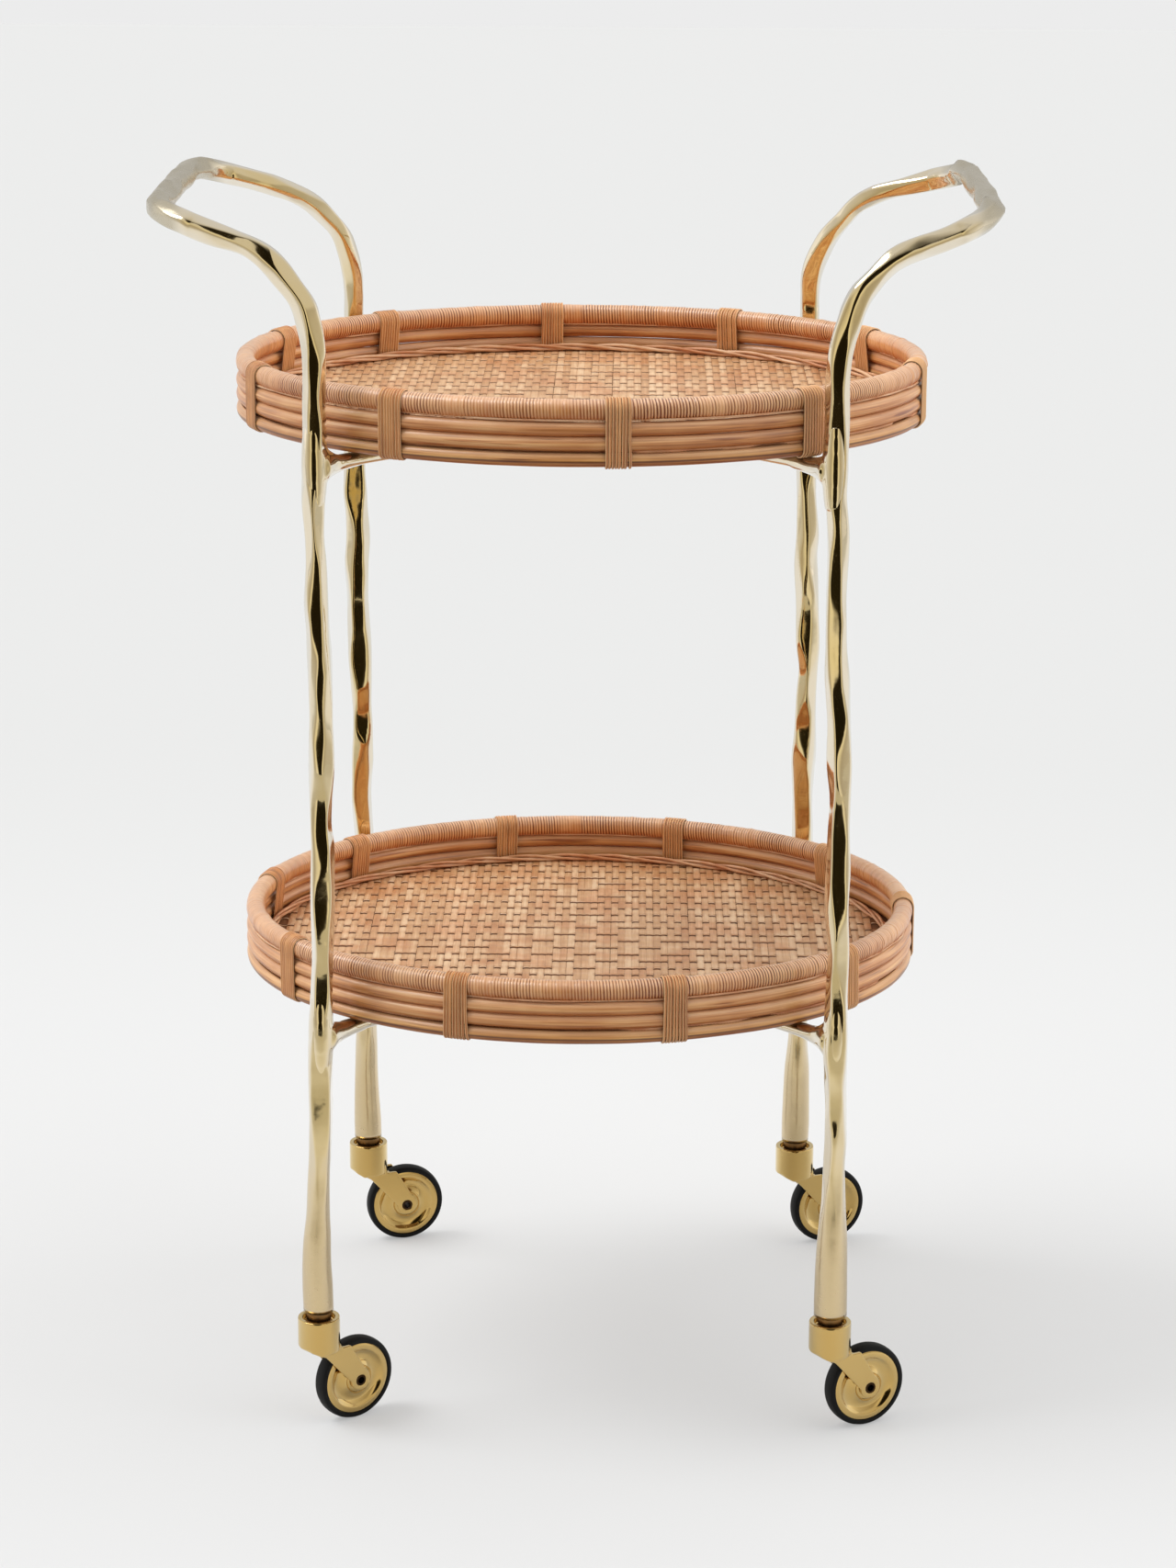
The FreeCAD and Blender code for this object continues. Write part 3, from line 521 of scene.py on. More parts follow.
class Oval:
    """A tray's ellipse, grown by a distance, measured along its length from the back towards +X."""

    def __init__(self, grow):
        turn = np.linspace(0, 2 * math.pi, OVAL_STEPS + 1)
        self.length_radius = HALF_LENGTH + grow
        self.depth_radius = HALF_DEPTH + grow
        x = self.length_radius * np.sin(turn)
        y = self.depth_radius * np.cos(turn)
        pace = np.hypot(np.diff(x), np.diff(y))
        self.turn = turn
        self.run = np.concatenate([[0], np.cumsum(pace)])
        self.length = self.run[-1]

    def at(self, run):
        """Points, outward and forward directions at distances along the oval."""
        turn = np.interp(np.mod(run, self.length), self.run, self.turn)
        sine, cosine = np.sin(turn), np.cos(turn)
        point = np.stack([self.length_radius * sine, self.depth_radius * cosine, 0 * turn], -1)
        forward = np.stack([self.length_radius * cosine, -self.depth_radius * sine, 0 * turn], -1)
        forward /= np.linalg.norm(forward, axis=-1, keepdims=True)
        outward = np.stack([-forward[..., 1], forward[..., 0], 0 * turn], -1)
        return point, outward, forward

    def run_at(self, share):
        """The distance along the oval at a share of a turn from the front towards +X."""
        turn = math.pi - 2 * math.pi * share
        return float(np.interp(turn % (2 * math.pi), self.turn, self.run))


UP = np.array([0.0, 0.0, 1.0])


# Rattan

WINDING_TURNS = 640
TURN_STEPS = 4
AROUND = 16
GROOVE = np.array([-0.43, -0.1, 0.0, -0.1]) * MM
# Painted shade across a turn: full between turns, none on its ridge, where a painted highlight goes.
PAINTED_GROOVE_SHADES = np.array([1.0, 0.4, 0.0, 0.4])
# How much fuller the winding is below the rim pole, where it takes in the packing over the first side pole.
WINDING_SAG = 1.2
# Where a new cane begins, the turns over its hidden end are thicker.
JOINTS = 13
JOINT_BULGE = np.array([0.25, 0.45, 0.2]) * MM


def wind_rim(level):
    """The wound rim: one cane in a helix round the rim pole, closed on itself, uneven as a hand leaves it."""
    draw = random.Random(level)
    oval = Oval(0)
    rings = WINDING_TURNS * TURN_STEPS
    ring, spoke = np.meshgrid(np.arange(rings), np.arange(AROUND), indexing="ij")
    winding = ring / TURN_STEPS + spoke / AROUND
    turns = np.arange(WINDING_TURNS + 1)
    wander = np.zeros(WINDING_TURNS + 1)
    wander[1:-1] = [draw.gauss(0, 0.07) for _ in range(WINDING_TURNS - 1)]
    shift = np.interp(np.mod(winding, WINDING_TURNS), turns, wander)
    point, outward, _ = oval.at((winding / WINDING_TURNS + shift / WINDING_TURNS) * oval.length)
    # How far the grooves show: less at the ends, where the cane lies smooth, and unevenly between.
    sway = soft_noise(turns * 0.11, len(level)) + 0.6 * soft_noise(turns * 0.5, len(level) + 1)
    sway[-1] = sway[0]
    uneven = np.interp(np.mod(winding, WINDING_TURNS), turns, sway)
    smoothness = 1 - 0.75 * np.clip(np.abs(point[..., 0]) / HALF_LENGTH * 4.5 - 3.4, 0, 1)
    smoothness = smoothness * np.clip(0.82 + 0.7 * uneven, 0.25, 1.2)
    thickness = np.array([draw.gauss(0, 0.08) * MM for _ in range(WINDING_TURNS)])
    for joint in draw.sample(range(10, WINDING_TURNS - 10), JOINTS):
        thickness[joint:joint + 3] += JOINT_BULGE
    radius = RIM_RADIUS + GROOVE[ring % TURN_STEPS] * smoothness + thickness[(ring // TURN_STEPS) % WINDING_TURNS]
    angle = 2 * math.pi * spoke / AROUND
    rise = np.sin(angle)
    side = outward * np.cos(angle)[..., None] + UP * (rise * np.where(rise < 0, WINDING_SAG, 1))[..., None]
    numbers = ring * AROUND + spoke
    after = np.roll(numbers, -1, 1)
    after[:, -1] = np.roll(numbers[:, 0], -TURN_STEPS)
    faces = skin(numbers, after).reshape(-1, 4).tolist()
    piece = meshed(level + "_wound_rim", point + side * radius[..., None] + UP * RIM_HEIGHTS[level], faces)
    mark(piece, "up", rise.ravel())
    # The painted highlight and shade of each turn, fainter where the cane lies smooth.
    mark(piece, "groove", (0.3 + (PAINTED_GROOVE_SHADES[ring % TURN_STEPS] - 0.3) * smoothness).ravel())
    weld(piece, 0.001 * MM)
    settle(piece, WINDING, "cane_wrapping", level + "_rim_wrapping", smooth=75)


def bend_pole(level, name, radius, grow, drop):
    """A side pole: a round rod bent to the oval, a little uneven along its length."""
    middle = (0, 0, RIM_HEIGHTS[level] - drop)
    path = add("curve", "bezier_circle", level + "_" + name + "_bent", radius=1, location=middle)
    path.scale = (HALF_LENGTH + grow, HALF_DEPTH + grow, 1)
    bpy.ops.object.transform_apply(location=False, rotation=False, scale=True)
    for point in path.data.splines[0].bezier_points:
        point.radius = 1
    piece = thicken(path, radius, 6, 64)
    heights = points_of(piece)[:, 2]
    up = (heights - heights.mean()) / radius
    mark(piece, "up", up)
    if name == "base_pole":
        mark(piece, "low", np.clip((-0.12 - up) * 9, 0, 1))
    lumps = bpy.data.textures.new(piece.name, "CLOUDS")
    lumps.noise_scale = 0.09
    modify(piece, "DISPLACE", texture=lumps, strength=0.7 * MM, mid_level=0.55)
    settle(piece, BASE_POLE if name == "base_pole" else POLE, "rattan_pole", level + "_" + name, smooth=40)


# A binding's strands: how many, their pitch, how far they lie off the poles, and across one: share of its half width,
# share of its rise, and the painted shade of each point, where 0.5 gives a painted highlight along the edge.
BINDING_STRANDS = 8
STRAND_PITCH = 2.16 * MM
STRAND_LIFT = 0.75 * MM
STRAND_RISE = 0.7 * MM
STRAND_SECTION = (
    (-1.0, -0.5), (-0.72, 0.5), (-0.3, 0.8), (0.25, 0.9), (0.6, 1.0), (0.86, 0.7), (1.0, -0.5), (0.0, -0.9))
STRAND_SHADES = (0.9, 0.2, 0.0, 0.1, 0.5, 0.45, 0.85, 1.0)


def binding_outline():
    """The loop of a binding over the rim and under the base pole: out, rise and the angle that it faces."""
    def bend(radius, out, rise, angles):
        return [(out + radius * math.cos(angle), rise + radius * math.sin(angle), angle) for angle in angles]

    def straight(first, last, angle):
        return [
            (first[0] + (last[0] - first[0]) * share, first[1] + (last[1] - first[1]) * share, angle)
            for share in (0.2, 0.4, 0.6, 0.8)]

    _, radius, grow, drop = SIDE_POLES[2]
    lean = math.atan2(RIM_RADIUS - grow - radius, drop) + 0.06
    top = bend(RIM_RADIUS + STRAND_LIFT, 0, 0, np.linspace(0, math.pi, 13))
    foot = bend(radius + STRAND_LIFT, grow, -drop, np.linspace(math.pi - lean, 2 * math.pi, 11))
    return np.array(top + straight(top[-1], foot[0], math.pi) + foot + straight(foot[-1], top[0], 2 * math.pi)).T


def bind_tray(level):
    """The ten bindings: eight taut cane strands each, from over the rim to under the base pole."""
    draw = random.Random(level + "bindings")
    oval = Oval(0)
    out, rise, angle = binding_outline()
    low = np.clip(-rise / SIDE_POLES[2][3], 0, 1.1)
    strands = []
    for share in BINDING_SHARES[level]:
        middle = oval.run_at(share)
        fan = draw.uniform(-0.02, 0.07)
        slant = draw.uniform(-0.8, 0.8) * MM
        for number in range(BINDING_STRANDS):
            half_width = draw.uniform(0.93, 1.02) * MM
            across = (number - 3.5) * STRAND_PITCH * (1 + fan * low ** 2) + slant * low
            across = across + draw.uniform(-0.15, 0.15) * MM
            if number == 0:
                across = across - draw.choice((0.0, 0.0, 0.7)) * MM * np.clip(low - 0.6, 0, 1) * 2.5
            point, outward, forward = oval.at(middle + across)
            spread = outward * np.cos(angle)[:, None] + UP * np.sin(angle)[:, None]
            centre = point + outward * out[:, None] + UP * (rise[:, None] + RIM_HEIGHTS[level])
            rings = [
                centre + forward * side * half_width + spread * (lift * STRAND_RISE + (number % 2) * 0.08 * MM)
                for side, lift in STRAND_SECTION]
            strands.append((np.stack(rings, 1), draw.random(), STRAND_SHADES))
    piece = laid(level + "_cane_bindings", strands, closed=True)
    settle(piece, BINDING, "binding_cane", level + "_bindings")


MAT_INSET = 7.5 * MM
MAT_MIDDLES = {"upper": -2 * MM, "lower": 5 * MM}
# Warps and wefts stop short of the ends of the mat, where they would be too short.
WARP_MARGIN = 12 * MM
WEFT_MARGIN = 8 * MM
WARPS = range(-47, 48)
WARP_PITCH = 5.4 * MM
WEFTS = range(-14, 16)
WEFT_PITCH = 16.3 * MM
WEFT_OFFSET = -26 * MM
# Small diamonds of long stitches: middle warp and middle weft of each, counted from the large one.
SMALL_DIAMONDS = ((-28, 0), (28, 0), (0, 9), (0, -9))
# A warp's course past a weft: place along it, rise over and under the weft, and its painted shade where it dives,
# deeper in front of the weft than behind, as a painted shadow.
WARP_COURSE = (
    (-5.6, 0.12, 0.12, 0.0), (-3.6, 0.34, 0.3, 0.0), (-2.1, 0.5, -0.3, 0.75), (0.0, 0.6, -0.55, 0.9),
    (1.5, 0.5, -0.2, 0.6), (2.6, 0.34, 0.3, 0.0), (5.6, 0.12, 0.12, 0.0))
# A weft's course past a warp: place along it, and rise over the warp. Under it, it lies low.
WEFT_COURSE = ((-2.0, 0.24), (-0.9, 0.46), (0.9, 0.46), (2.0, 0.24))
WEFT_LOW = -0.5
# Points across a strand: share of the half width, and rise.
WARP_SECTION = ((0.0, -0.5), (1.0, -0.3), (0.8, 0.0), (0.0, 0.14), (-0.8, 0.0), (-1.0, -0.3))
WEFT_SECTION = ((-1.0, -0.1), (-0.6, 0.16), (0.6, 0.16), (1.0, -0.1), (0.0, -0.3))
# Painted shade on a warp's edge: beside a neighbour on the same side of the weft, and at the corner of a crossing.
CLOSE_EDGE_SHADE = 0.3
CORNER_EDGE_SHADE = 1.0


def warp_is_over(warp, weft):
    """Whether a warp passes over a weft: plain weave, with threes of warps taken together in the diamonds."""
    groups = math.floor((warp + 1) / 3)
    if abs(groups) + abs(weft) <= 5:
        return (groups + weft) % 2 == 0
    for middle_warp, middle_weft in SMALL_DIAMONDS:
        groups = math.floor((warp - middle_warp + 1) / 3)
        if abs(groups) + abs(weft - middle_weft) <= 2:
            return (groups + weft - middle_weft) % 2 == 1
    return (warp + weft) % 2 == 0


def inside(stations, reach):
    """The columns of those stations of a strand that lie within its reach."""
    return np.array([station for station in stations if abs(station[0]) < reach]).T


def weave_mat(level):
    """The mat: broad warps from front to back, thin wefts across, over a dark sheet of painted shade that shows
    between them.
    """
    draw = random.Random(level + "mat")
    height = RIM_HEIGHTS[level] - MAT_DROP
    length_reach = HALF_LENGTH - MAT_INSET
    depth_reach = HALF_DEPTH - MAT_INSET
    across = {weft: WEFT_OFFSET + weft * WEFT_PITCH + draw.uniform(-0.8, 0.8) * MM for weft in WEFTS}
    along = {warp: MAT_MIDDLES[level] + warp * WARP_PITCH + draw.uniform(-0.15, 0.15) * MM for warp in WARPS}

    strands = []
    for warp, x in along.items():
        if abs(x) > length_reach - WARP_MARGIN:
            continue
        stations = []
        for weft, y in across.items():
            is_over = warp_is_over(warp, weft)
            corners = [warp_is_over(warp + step, weft) != is_over for step in (-1, 1)]
            # Where it dives under a weft, and along its sides, the warp takes painted shade.
            for offset, over, under, dark in WARP_COURSE:
                rise, hidden = (over, 0.0) if is_over else (under, dark)
                edges = [CORNER_EDGE_SHADE if abs(offset) < 3 and corner else CLOSE_EDGE_SHADE for corner in corners]
                stations.append((y + offset * MM, rise * MM, hidden, *edges))
        y, rise, hidden, left, right = inside(stations, depth_reach * math.sqrt(1 - (x / length_reach) ** 2))
        half_width = WARP_PITCH * draw.uniform(0.5, 0.52)
        tilt = draw.uniform(-0.05, 0.05)
        x = x + 0.25 * MM * soft_noise(y * 14, warp)
        rings = [
            np.stack([x + side * half_width, y, height + rise + up * MM + tilt * side * half_width], -1)
            for side, up in WARP_SECTION]
        edging = np.stack([0 * left + 1, right, right * 0.3, 0 * left, left * 0.3, left], -1)
        strands.append((np.stack(rings, 1), draw.random(), np.clip(hidden[:, None] + edging, 0, 1)))
    settle(laid(level + "_mat_warps", strands), WARP, "woven_rattan", level + "_woven_mat")

    strands = []
    for weft, y in across.items():
        if abs(y) > depth_reach - WEFT_MARGIN:
            continue
        stations = []
        for warp, x in along.items():
            under = warp_is_over(warp, weft)
            stations += [(x + offset * MM, (WEFT_LOW if under else over) * MM) for offset, over in WEFT_COURSE]
        x, rise = inside(stations, length_reach * math.sqrt(1 - (y / depth_reach) ** 2))
        half_width = draw.uniform(0.5, 0.7) * MM
        y = y + 0.9 * MM + 0.3 * MM * soft_noise(x * 30, weft)
        rings = [np.stack([x, y + side * half_width, height + rise + up * MM], -1) for side, up in WEFT_SECTION]
        strands.append((np.stack(rings, 1), draw.random(), 0))
    settle(laid(level + "_mat_wefts", strands), WEFT, "woven_rattan")

    # A dark sheet under the mat: painted shade that shows through the gaps of the weave.
    shade_sheet = add(
        "mesh", "circle", level + "_mat_backing", vertices=160, radius=1, fill_type="NGON",
        location=(0, 0, RIM_HEIGHTS[level] - MAT_BOTTOM_DROP))
    shade_sheet.scale = (HALF_LENGTH + SHADE_SHEET_GROW, HALF_DEPTH + SHADE_SHEET_GROW, 1)
    modify(shade_sheet, "SOLIDIFY", thickness=0.5 * MM, offset=1)
    settle(shade_sheet, SHADE, "woven_rattan", smooth=40)


def tube(centre, outward, radius, sides):
    """Rings of points round a line along the oval."""
    turns = np.linspace(0, 2 * math.pi, sides, endpoint=False)
    return np.stack([centre + (outward * math.cos(turn) + UP * math.sin(turn)) * radius for turn in turns], 1)


TRIM_STRANDS = 3
TRIM_TURNS = 13
TRIM_LOOSENESS = 1.9 * MM


def twist_trim(level):
    """The trim at the foot of the wall: three strands in a long loose twist."""
    draw = random.Random(level + "trim")
    oval = Oval(-TRIM_INSET)
    run = np.linspace(0, oval.length, TRIM_TURNS * 18, endpoint=False)
    point, outward, _ = oval.at(run)
    strands = []
    for number in range(TRIM_STRANDS):
        phase = 2 * math.pi * (run / oval.length * TRIM_TURNS + number / TRIM_STRANDS)
        loose = TRIM_LOOSENESS * (1 + 0.25 * np.sin(run / oval.length * 2 * math.pi * 11 + number * 2))
        centre = point + outward * (loose * np.cos(phase))[:, None]
        centre = centre + UP * (loose * 0.9 * np.sin(phase) + RIM_HEIGHTS[level] - TRIM_DROP)[:, None]
        rings = tube(centre, outward, draw.uniform(1.0, 1.25) * MM, 8)
        strands.append((rings, draw.random(), 0))
    settle(laid(level + "_twisted_trim", strands, closed=True), TRIM, "trim_cane", level + "_mat_trim")


# Thin strands in the creases of the rim, outside and inside, and outside the mat's edge: radius, distance outward and
# drop of their middle, how far they hide, tone.
CREASE_STRANDS = ((0.8, 5.0, 6.9, 1.6, 0.95), (0.8, -2.7, 7.6, 1.6, 0.95), (1.15, 4.1, 28.73, 2.6, 0.2))


def tuck_strands(level):
    """Thin strands tucked into the creases of the wall, that show in some stretches and hide in others."""
    oval = Oval(0)
    run = np.linspace(0, oval.length, WINDING_TURNS * 2, endpoint=False)
    point, outward, _ = oval.at(run)
    bead = 1 + 0.22 * np.cos(np.arange(len(run)) * math.pi)
    strands = []
    for number, (radius, out, drop, hide, tone) in enumerate(CREASE_STRANDS):
        sway = soft_noise(point[:, 0] * 22 + point[:, 1] * 31, number + len(level))
        hidden = np.clip(sway * 2.5 + 0.35, 0, 1) * hide
        inward = hidden if out > 0 else -hidden
        centre = point + outward * ((out - inward) * MM)[:, None]
        centre = centre + UP * (RIM_HEIGHTS[level] - drop * MM + 0.15 * MM * sway[:, None])
        strands.append((tube(centre, outward, (radius * MM * bead)[:, None], 6), tone, 0))
    settle(laid(level + "_crease_strands", strands, closed=True), TRIM, "trim_cane")


# Cast brass

def leg_middle(corner, height):
    """The middle of a leg at a height."""
    depth, side = corner.split("_")
    foot, top = LEG_REACHES[depth]
    share = (height - FOOT_HEIGHT) / (LEG_TOP_HEIGHT - FOOT_HEIGHT)
    reach = foot + (top - foot) * share
    return Vector((
        reach if side == "right" else -reach,
        LEG_DEPTH_REACH if depth == "back" else -LEG_DEPTH_REACH, height))


# The rods as cast: heights, widths and how far the middle wanders to +X there, in millimetres. Heights above a leg's
# top go on along the hoop, where the wander is across the view.
ROD_STATIONS = {
    "front_left": (
        (92, 22, 0), (112, 22.4, -0.8), (131, 21, -1.4), (149, 20.2, -1), (167, 17.1, -0.2), (203, 15.7, 0.5),
        (245, 17.3, 2.2), (287, 17.7, 1.4), (300, 18.6, 2), (330, 16.2, 2.6), (362, 15.2, 3.4), (398, 17.6, 2.6),
        (430, 17.2, 3.6), (449, 16.6, 3.4), (461, 14.8, 2), (473, 15.3, 2.1), (503, 18.6, 3.4), (521, 18.2, 3.2),
        (539, 16.3, 2.7), (587, 17.8, 1.4), (605, 16.4, 0.6), (623, 17.5, -0.6), (653, 14.4, -0.3), (671, 13.2, -1.5),
        (695, 16.4, -2.3), (713, 17.3, -1.8), (740, 16.8, -1), (765, 16.2, -1.4), (789, 16.4, -1), (821, 17.6, -0.5),
        (833, 18.1, 0.1), (842, 15.4, -1.5), (857, 17.8, -0.9), (873, 17.6, -1.1), (897, 14.3, -0.6), (913, 17, -0.3),
        (929, 17.4, 0), (945, 16.9, 0.6)),
    "front_right": (
        (92, 24.2, 0), (107, 24.2, 0), (130, 23.4, 0.3), (150, 22.2, 0.8), (180, 17.4, 1.4), (209, 15.6, 1.7),
        (227, 16.3, 3), (257, 15.4, 2.4), (275, 16.7, 1.6), (305, 18.3, 1.6), (335, 16, 2.4), (365, 15.4, 3),
        (400, 17.4, 1.8), (430, 17.8, 2.6), (461, 15.6, 2.4), (485, 14.7, 3.2), (509, 18.6, 2.2), (539, 16.4, 2.3),
        (575, 18.2, 0.2), (593, 15.2, -0.7), (635, 14.2, -1), (677, 15.9, -0.2), (701, 14.6, -2.1), (716, 18.1, -2.8),
        (745, 17.6, -1.6), (789, 17, -0.8), (817, 17.2, 0.6), (833, 17.7, 1.2), (849, 17.3, 1.1), (859, 14.6, 2),
        (869, 14.8, 2.4), (881, 16.4, 2.2), (901, 16.5, 2.6), (921, 15.9, 2.6), (935, 17, 1.6)),
    "back_left": (
        (92, 21.8, 0), (107, 22, -0.3), (131, 19.9, -0.8), (149, 18.6, -0.8), (173, 17.8, -0.3), (205, 14.8, 0.2),
        (245, 16.6, 0.6), (290, 17.4, -0.6), (325, 15.2, 0.4), (353, 15.3, -0.3), (377, 16, -1.9), (389, 15.3, -1.6),
        (413, 17.3, -0.4), (458, 14.9, -0.2), (497, 18.8, -1.7), (515, 18.6, -1.6), (545, 16.5, -2.5), (572, 19.1, -3),
        (593, 19, -1.5), (617, 17.5, -2.4), (629, 19.1, -3.2), (647, 16.9, -3.4), (690, 17.4, -2.6), (740, 15.6, -2.2),
        (789, 14.8, -2), (805, 16.1, -1.7), (833, 15.4, -0.8), (845, 13.4, -1.2), (861, 15.7, -1.5), (873, 15.1, -2.6),
        (889, 14.4, -2.6), (905, 16.1, -1.6), (921, 15.2, -0.3), (941, 16.4, 0)),
    "back_right": (
        (92, 21.8, 0), (107, 22.6, 0.2), (143, 20.8, 0.2), (155, 20.2, 0.3), (173, 16.4, 0.5), (185, 14.8, 0.6),
        (230, 16.8, 0.2), (290, 15.6, 0.8), (330, 17.4, 0.4), (359, 16.9, 0.9), (383, 15.6, -0.1), (419, 19.8, 0.3),
        (443, 16.8, 0.2), (461, 16.1, 0.2), (491, 14.9, 1.5), (509, 19.6, 0.2), (539, 17.8, 0), (569, 19, -1.5),
        (581, 17.7, -2.2), (599, 17.9, -0.8), (629, 14.9, -2.6), (641, 15.5, -3), (690, 17.2, -2.6), (740, 15.4, -3),
        (789, 14.6, -3), (801, 16.4, -2.8), (817, 17, -2), (837, 15.8, 0.6), (849, 13.2, 2), (869, 13.4, 2.2),
        (885, 14.7, 2), (905, 12.8, 2.2), (925, 15.6, 2.2), (937, 17, 2)),
}
# Swells and necks of the handles' bars: distance from the middle, and width.
BAR_STATIONS = ((-110, 17.6), (-80, 16.4), (-45, 17.8), (0, 16.6), (50, 17.8), (80, 16.2))
# The widths and the wander are averaged over these shifts along the rod, so that it bends gently.
EVENING = (-6, -3, 0, 3, 6)
# Broad flats that face the front: height of the middle, half length and depth of the cut as a share of the radius.
FRONT_FLATS = {
    "front_left": (
        (265, 40, 0.74), (345, 30, 0.86), (405, 26, 0.84), (470, 42, 0.76), (520, 24, 0.9), (560, 26, 0.9),
        (622, 42, 0.84), (745, 38, 0.82), (790, 30, 0.84)),
    "front_right": (
        (152, 17, 0.84), (330, 34, 0.84), (438, 60, 0.68), (660, 30, 0.9), (735, 54, 0.66), (795, 34, 0.8)),
    "back_left": (
        (215, 26, 0.84), (392, 44, 0.76), (445, 20, 0.8), (500, 30, 0.78), (640, 42, 0.7), (720, 30, 0.84)),
    "back_right": (
        (220, 30, 0.8), (380, 34, 0.76), (440, 26, 0.82), (520, 36, 0.78), (610, 30, 0.86), (665, 26, 0.82),
        (735, 30, 0.86)),
}


def hoop_half(depth, side):
    """The hoop's middle line from a leg's top to the middle of its corner's bend."""
    top = leg_middle(depth + "_" + side, LEG_TOP_HEIGHT)
    sign = 1 if side == "right" else -1
    front = -1 if depth == "front" else 1
    corner = Vector((sign * HOOP_REACHES[side], front * HOOP_DEPTH_REACH, HOOP_HEIGHT))
    run = corner - top
    points = [top + Vector((run.x * out, run.y * inward, run.z * rise)) for out, rise, inward in HOOP_SHARES]
    arriving = (points[-1] - corner).normalized()
    leaving = Vector((0, -front, 0))
    return points + [
        corner + arriving * HOOP_CORNER_RADIUS,
        corner + (arriving + leaving) * HOOP_CORNER_RADIUS / 3,
        corner + leaving * HOOP_CORNER_RADIUS]


def side_middle(side):
    """Middle points of one side's rod: up the front leg, round the hoop and down the back leg."""
    rises = np.linspace(FOOT_HEIGHT, LEG_TOP_HEIGHT, 31)
    front = [leg_middle("front_" + side, height) for height in rises]
    back = [leg_middle("back_" + side, height) for height in rises]
    hoop = [hoop_half("front", side), hoop_half("back", side)]
    start, finish = hoop[0][-1], hoop[1][-1]
    bow = HOOP_BOW if side == "right" else -HOOP_BOW
    bar = [start.lerp(finish, share) + Vector((bow * (1 - (2 * share - 1) ** 2), 0, 0)) for share in (0.25, 0.5, 0.75)]
    return front + hoop[0] + bar + hoop[1][::-1] + back[::-1]


ROD_SPOKES = 60
ROD_RADIUS = 8.2 * MM


def cast_side(side, seed):
    """One side's rod: a round rod along its middle line, cut with long flats, to the widths of the real one."""
    stations = side_middle(side)
    path = add("curve", "bezier_curve", side + "_side_rod")
    path.data.use_fill_caps = True
    spline = path.data.splines[0]
    spline.bezier_points.add(len(stations) - 2)
    for point, place in zip(spline.bezier_points, stations):
        point.co = place
        point.radius = 1
        point.handle_left_type = point.handle_right_type = "AUTO"
    piece = thicken(path, ROD_RADIUS, ROD_SPOKES // 2 - 2, 6)
    move_points(piece, lambda points: work_rod(points, side, random.Random(seed)))
    weld(piece)
    settle(piece, FRAME_BRASS, "frame_brass", "front_" + side + "_leg", side + "_handle", "back_" + side + "_leg",
           smooth=180)


def work_rod(points, side, draw):
    """Cuts flats along a round rod and fits it to its widths."""
    # The first two rings are the caps: the back foot's and the front foot's.
    caps, grid = np.split(points.reshape(-1, ROD_SPOKES, 3), [2])
    centre = grid.mean(1)
    spokes = (grid - centre[:, None]) / ROD_RADIUS
    run = np.concatenate([[0], np.cumsum(np.linalg.norm(np.diff(centre, axis=0), axis=1))])
    radius = flattened(pick_flats(side, run, spokes, draw), run, spokes)
    grid[:] = centre[:, None] + spokes * radius[..., None] * ROD_RADIUS
    fit_widths(grid, centre, run, side)
    caps[:] = grid[-1], grid[0]
    return points


def pick_flats(side, run, spokes, draw):
    """A rod's flats: place along the run, the direction it faces, half its length and its depth."""
    flats = []
    place = 0.03
    turn = draw.uniform(0, ROD_SPOKES)
    while place < run[-1] - 0.03:
        ring = int(np.searchsorted(run, place))
        count = draw.choice((4, 4, 5))
        for number in range(count):
            spoke = int(turn + (number + draw.uniform(-0.2, 0.2)) * ROD_SPOKES / count) % ROD_SPOKES
            flats.append((
                place + draw.uniform(-0.016, 0.016), spokes[ring, spoke], draw.uniform(0.022, 0.046),
                draw.uniform(0.83, 0.93)))
        turn += draw.uniform(-0.12, 0.2) * ROD_SPOKES
        place += draw.uniform(0.026, 0.042)
    lean = 0.03 if side == "left" else -0.03
    for depth in ("front", "back"):
        for height, half_length, share in FRONT_FLATS[depth + "_" + side]:
            facing = Vector((draw.uniform(-0.1, 0.1) + lean, -1, 0)).normalized()
            flats.append((rod_place(depth, height, run), np.array(facing), half_length * MM, share))
    return flats


# How far from its feet a rod's flats fade in from a round, and how sharp the ridges between them are.
FOOT_ROUND = (0.045, 0.11)
RIDGE_POWER = 26.0


def flattened(flats, run, spokes):
    """A rod's radii once its flats are cut, each a shallow arc along the run: soft ridges wander round the rod."""
    edge = np.minimum(run, run[-1] - run)
    fade = np.clip((edge - FOOT_ROUND[0]) / (FOOT_ROUND[1] - FOOT_ROUND[0]), 0, 1)
    summed = np.full(spokes.shape[:2], 1.06 ** -RIDGE_POWER)
    for place, facing, half_length, share in flats:
        near = np.abs(run - place) < half_length * 1.7
        facing_share = np.maximum(spokes[near] @ facing, 0.05)
        rise = (1.05 - share) * ((run[near] - place) / half_length) ** 2
        level = share + rise + 0.3 * (1 - fade[near])
        summed[near] += (level[:, None] / facing_share) ** -RIDGE_POWER
    radius = summed ** (-1 / RIDGE_POWER)

    # Small unevenness of the casting, stronger on the handle's bar.
    on_bar = np.clip((edge - LEG_LENGTH - 0.135) / 0.02, 0, 1)
    for ring, spoke in np.ndindex(radius.shape):
        place = Vector(spokes[ring, spoke]) * 1.1 + Vector((0, 0, run[ring] / 0.014))
        radius[ring, spoke] *= 1 + (0.010 + 0.08 * on_bar[ring]) * noise.noise(place)
    return radius


def rod_place(depth, height, run):
    """The distance along a rod's run of a height in millimetres on its front or back half."""
    place = height * MM - FOOT_HEIGHT
    return place if depth == "front" else run[-1] - place


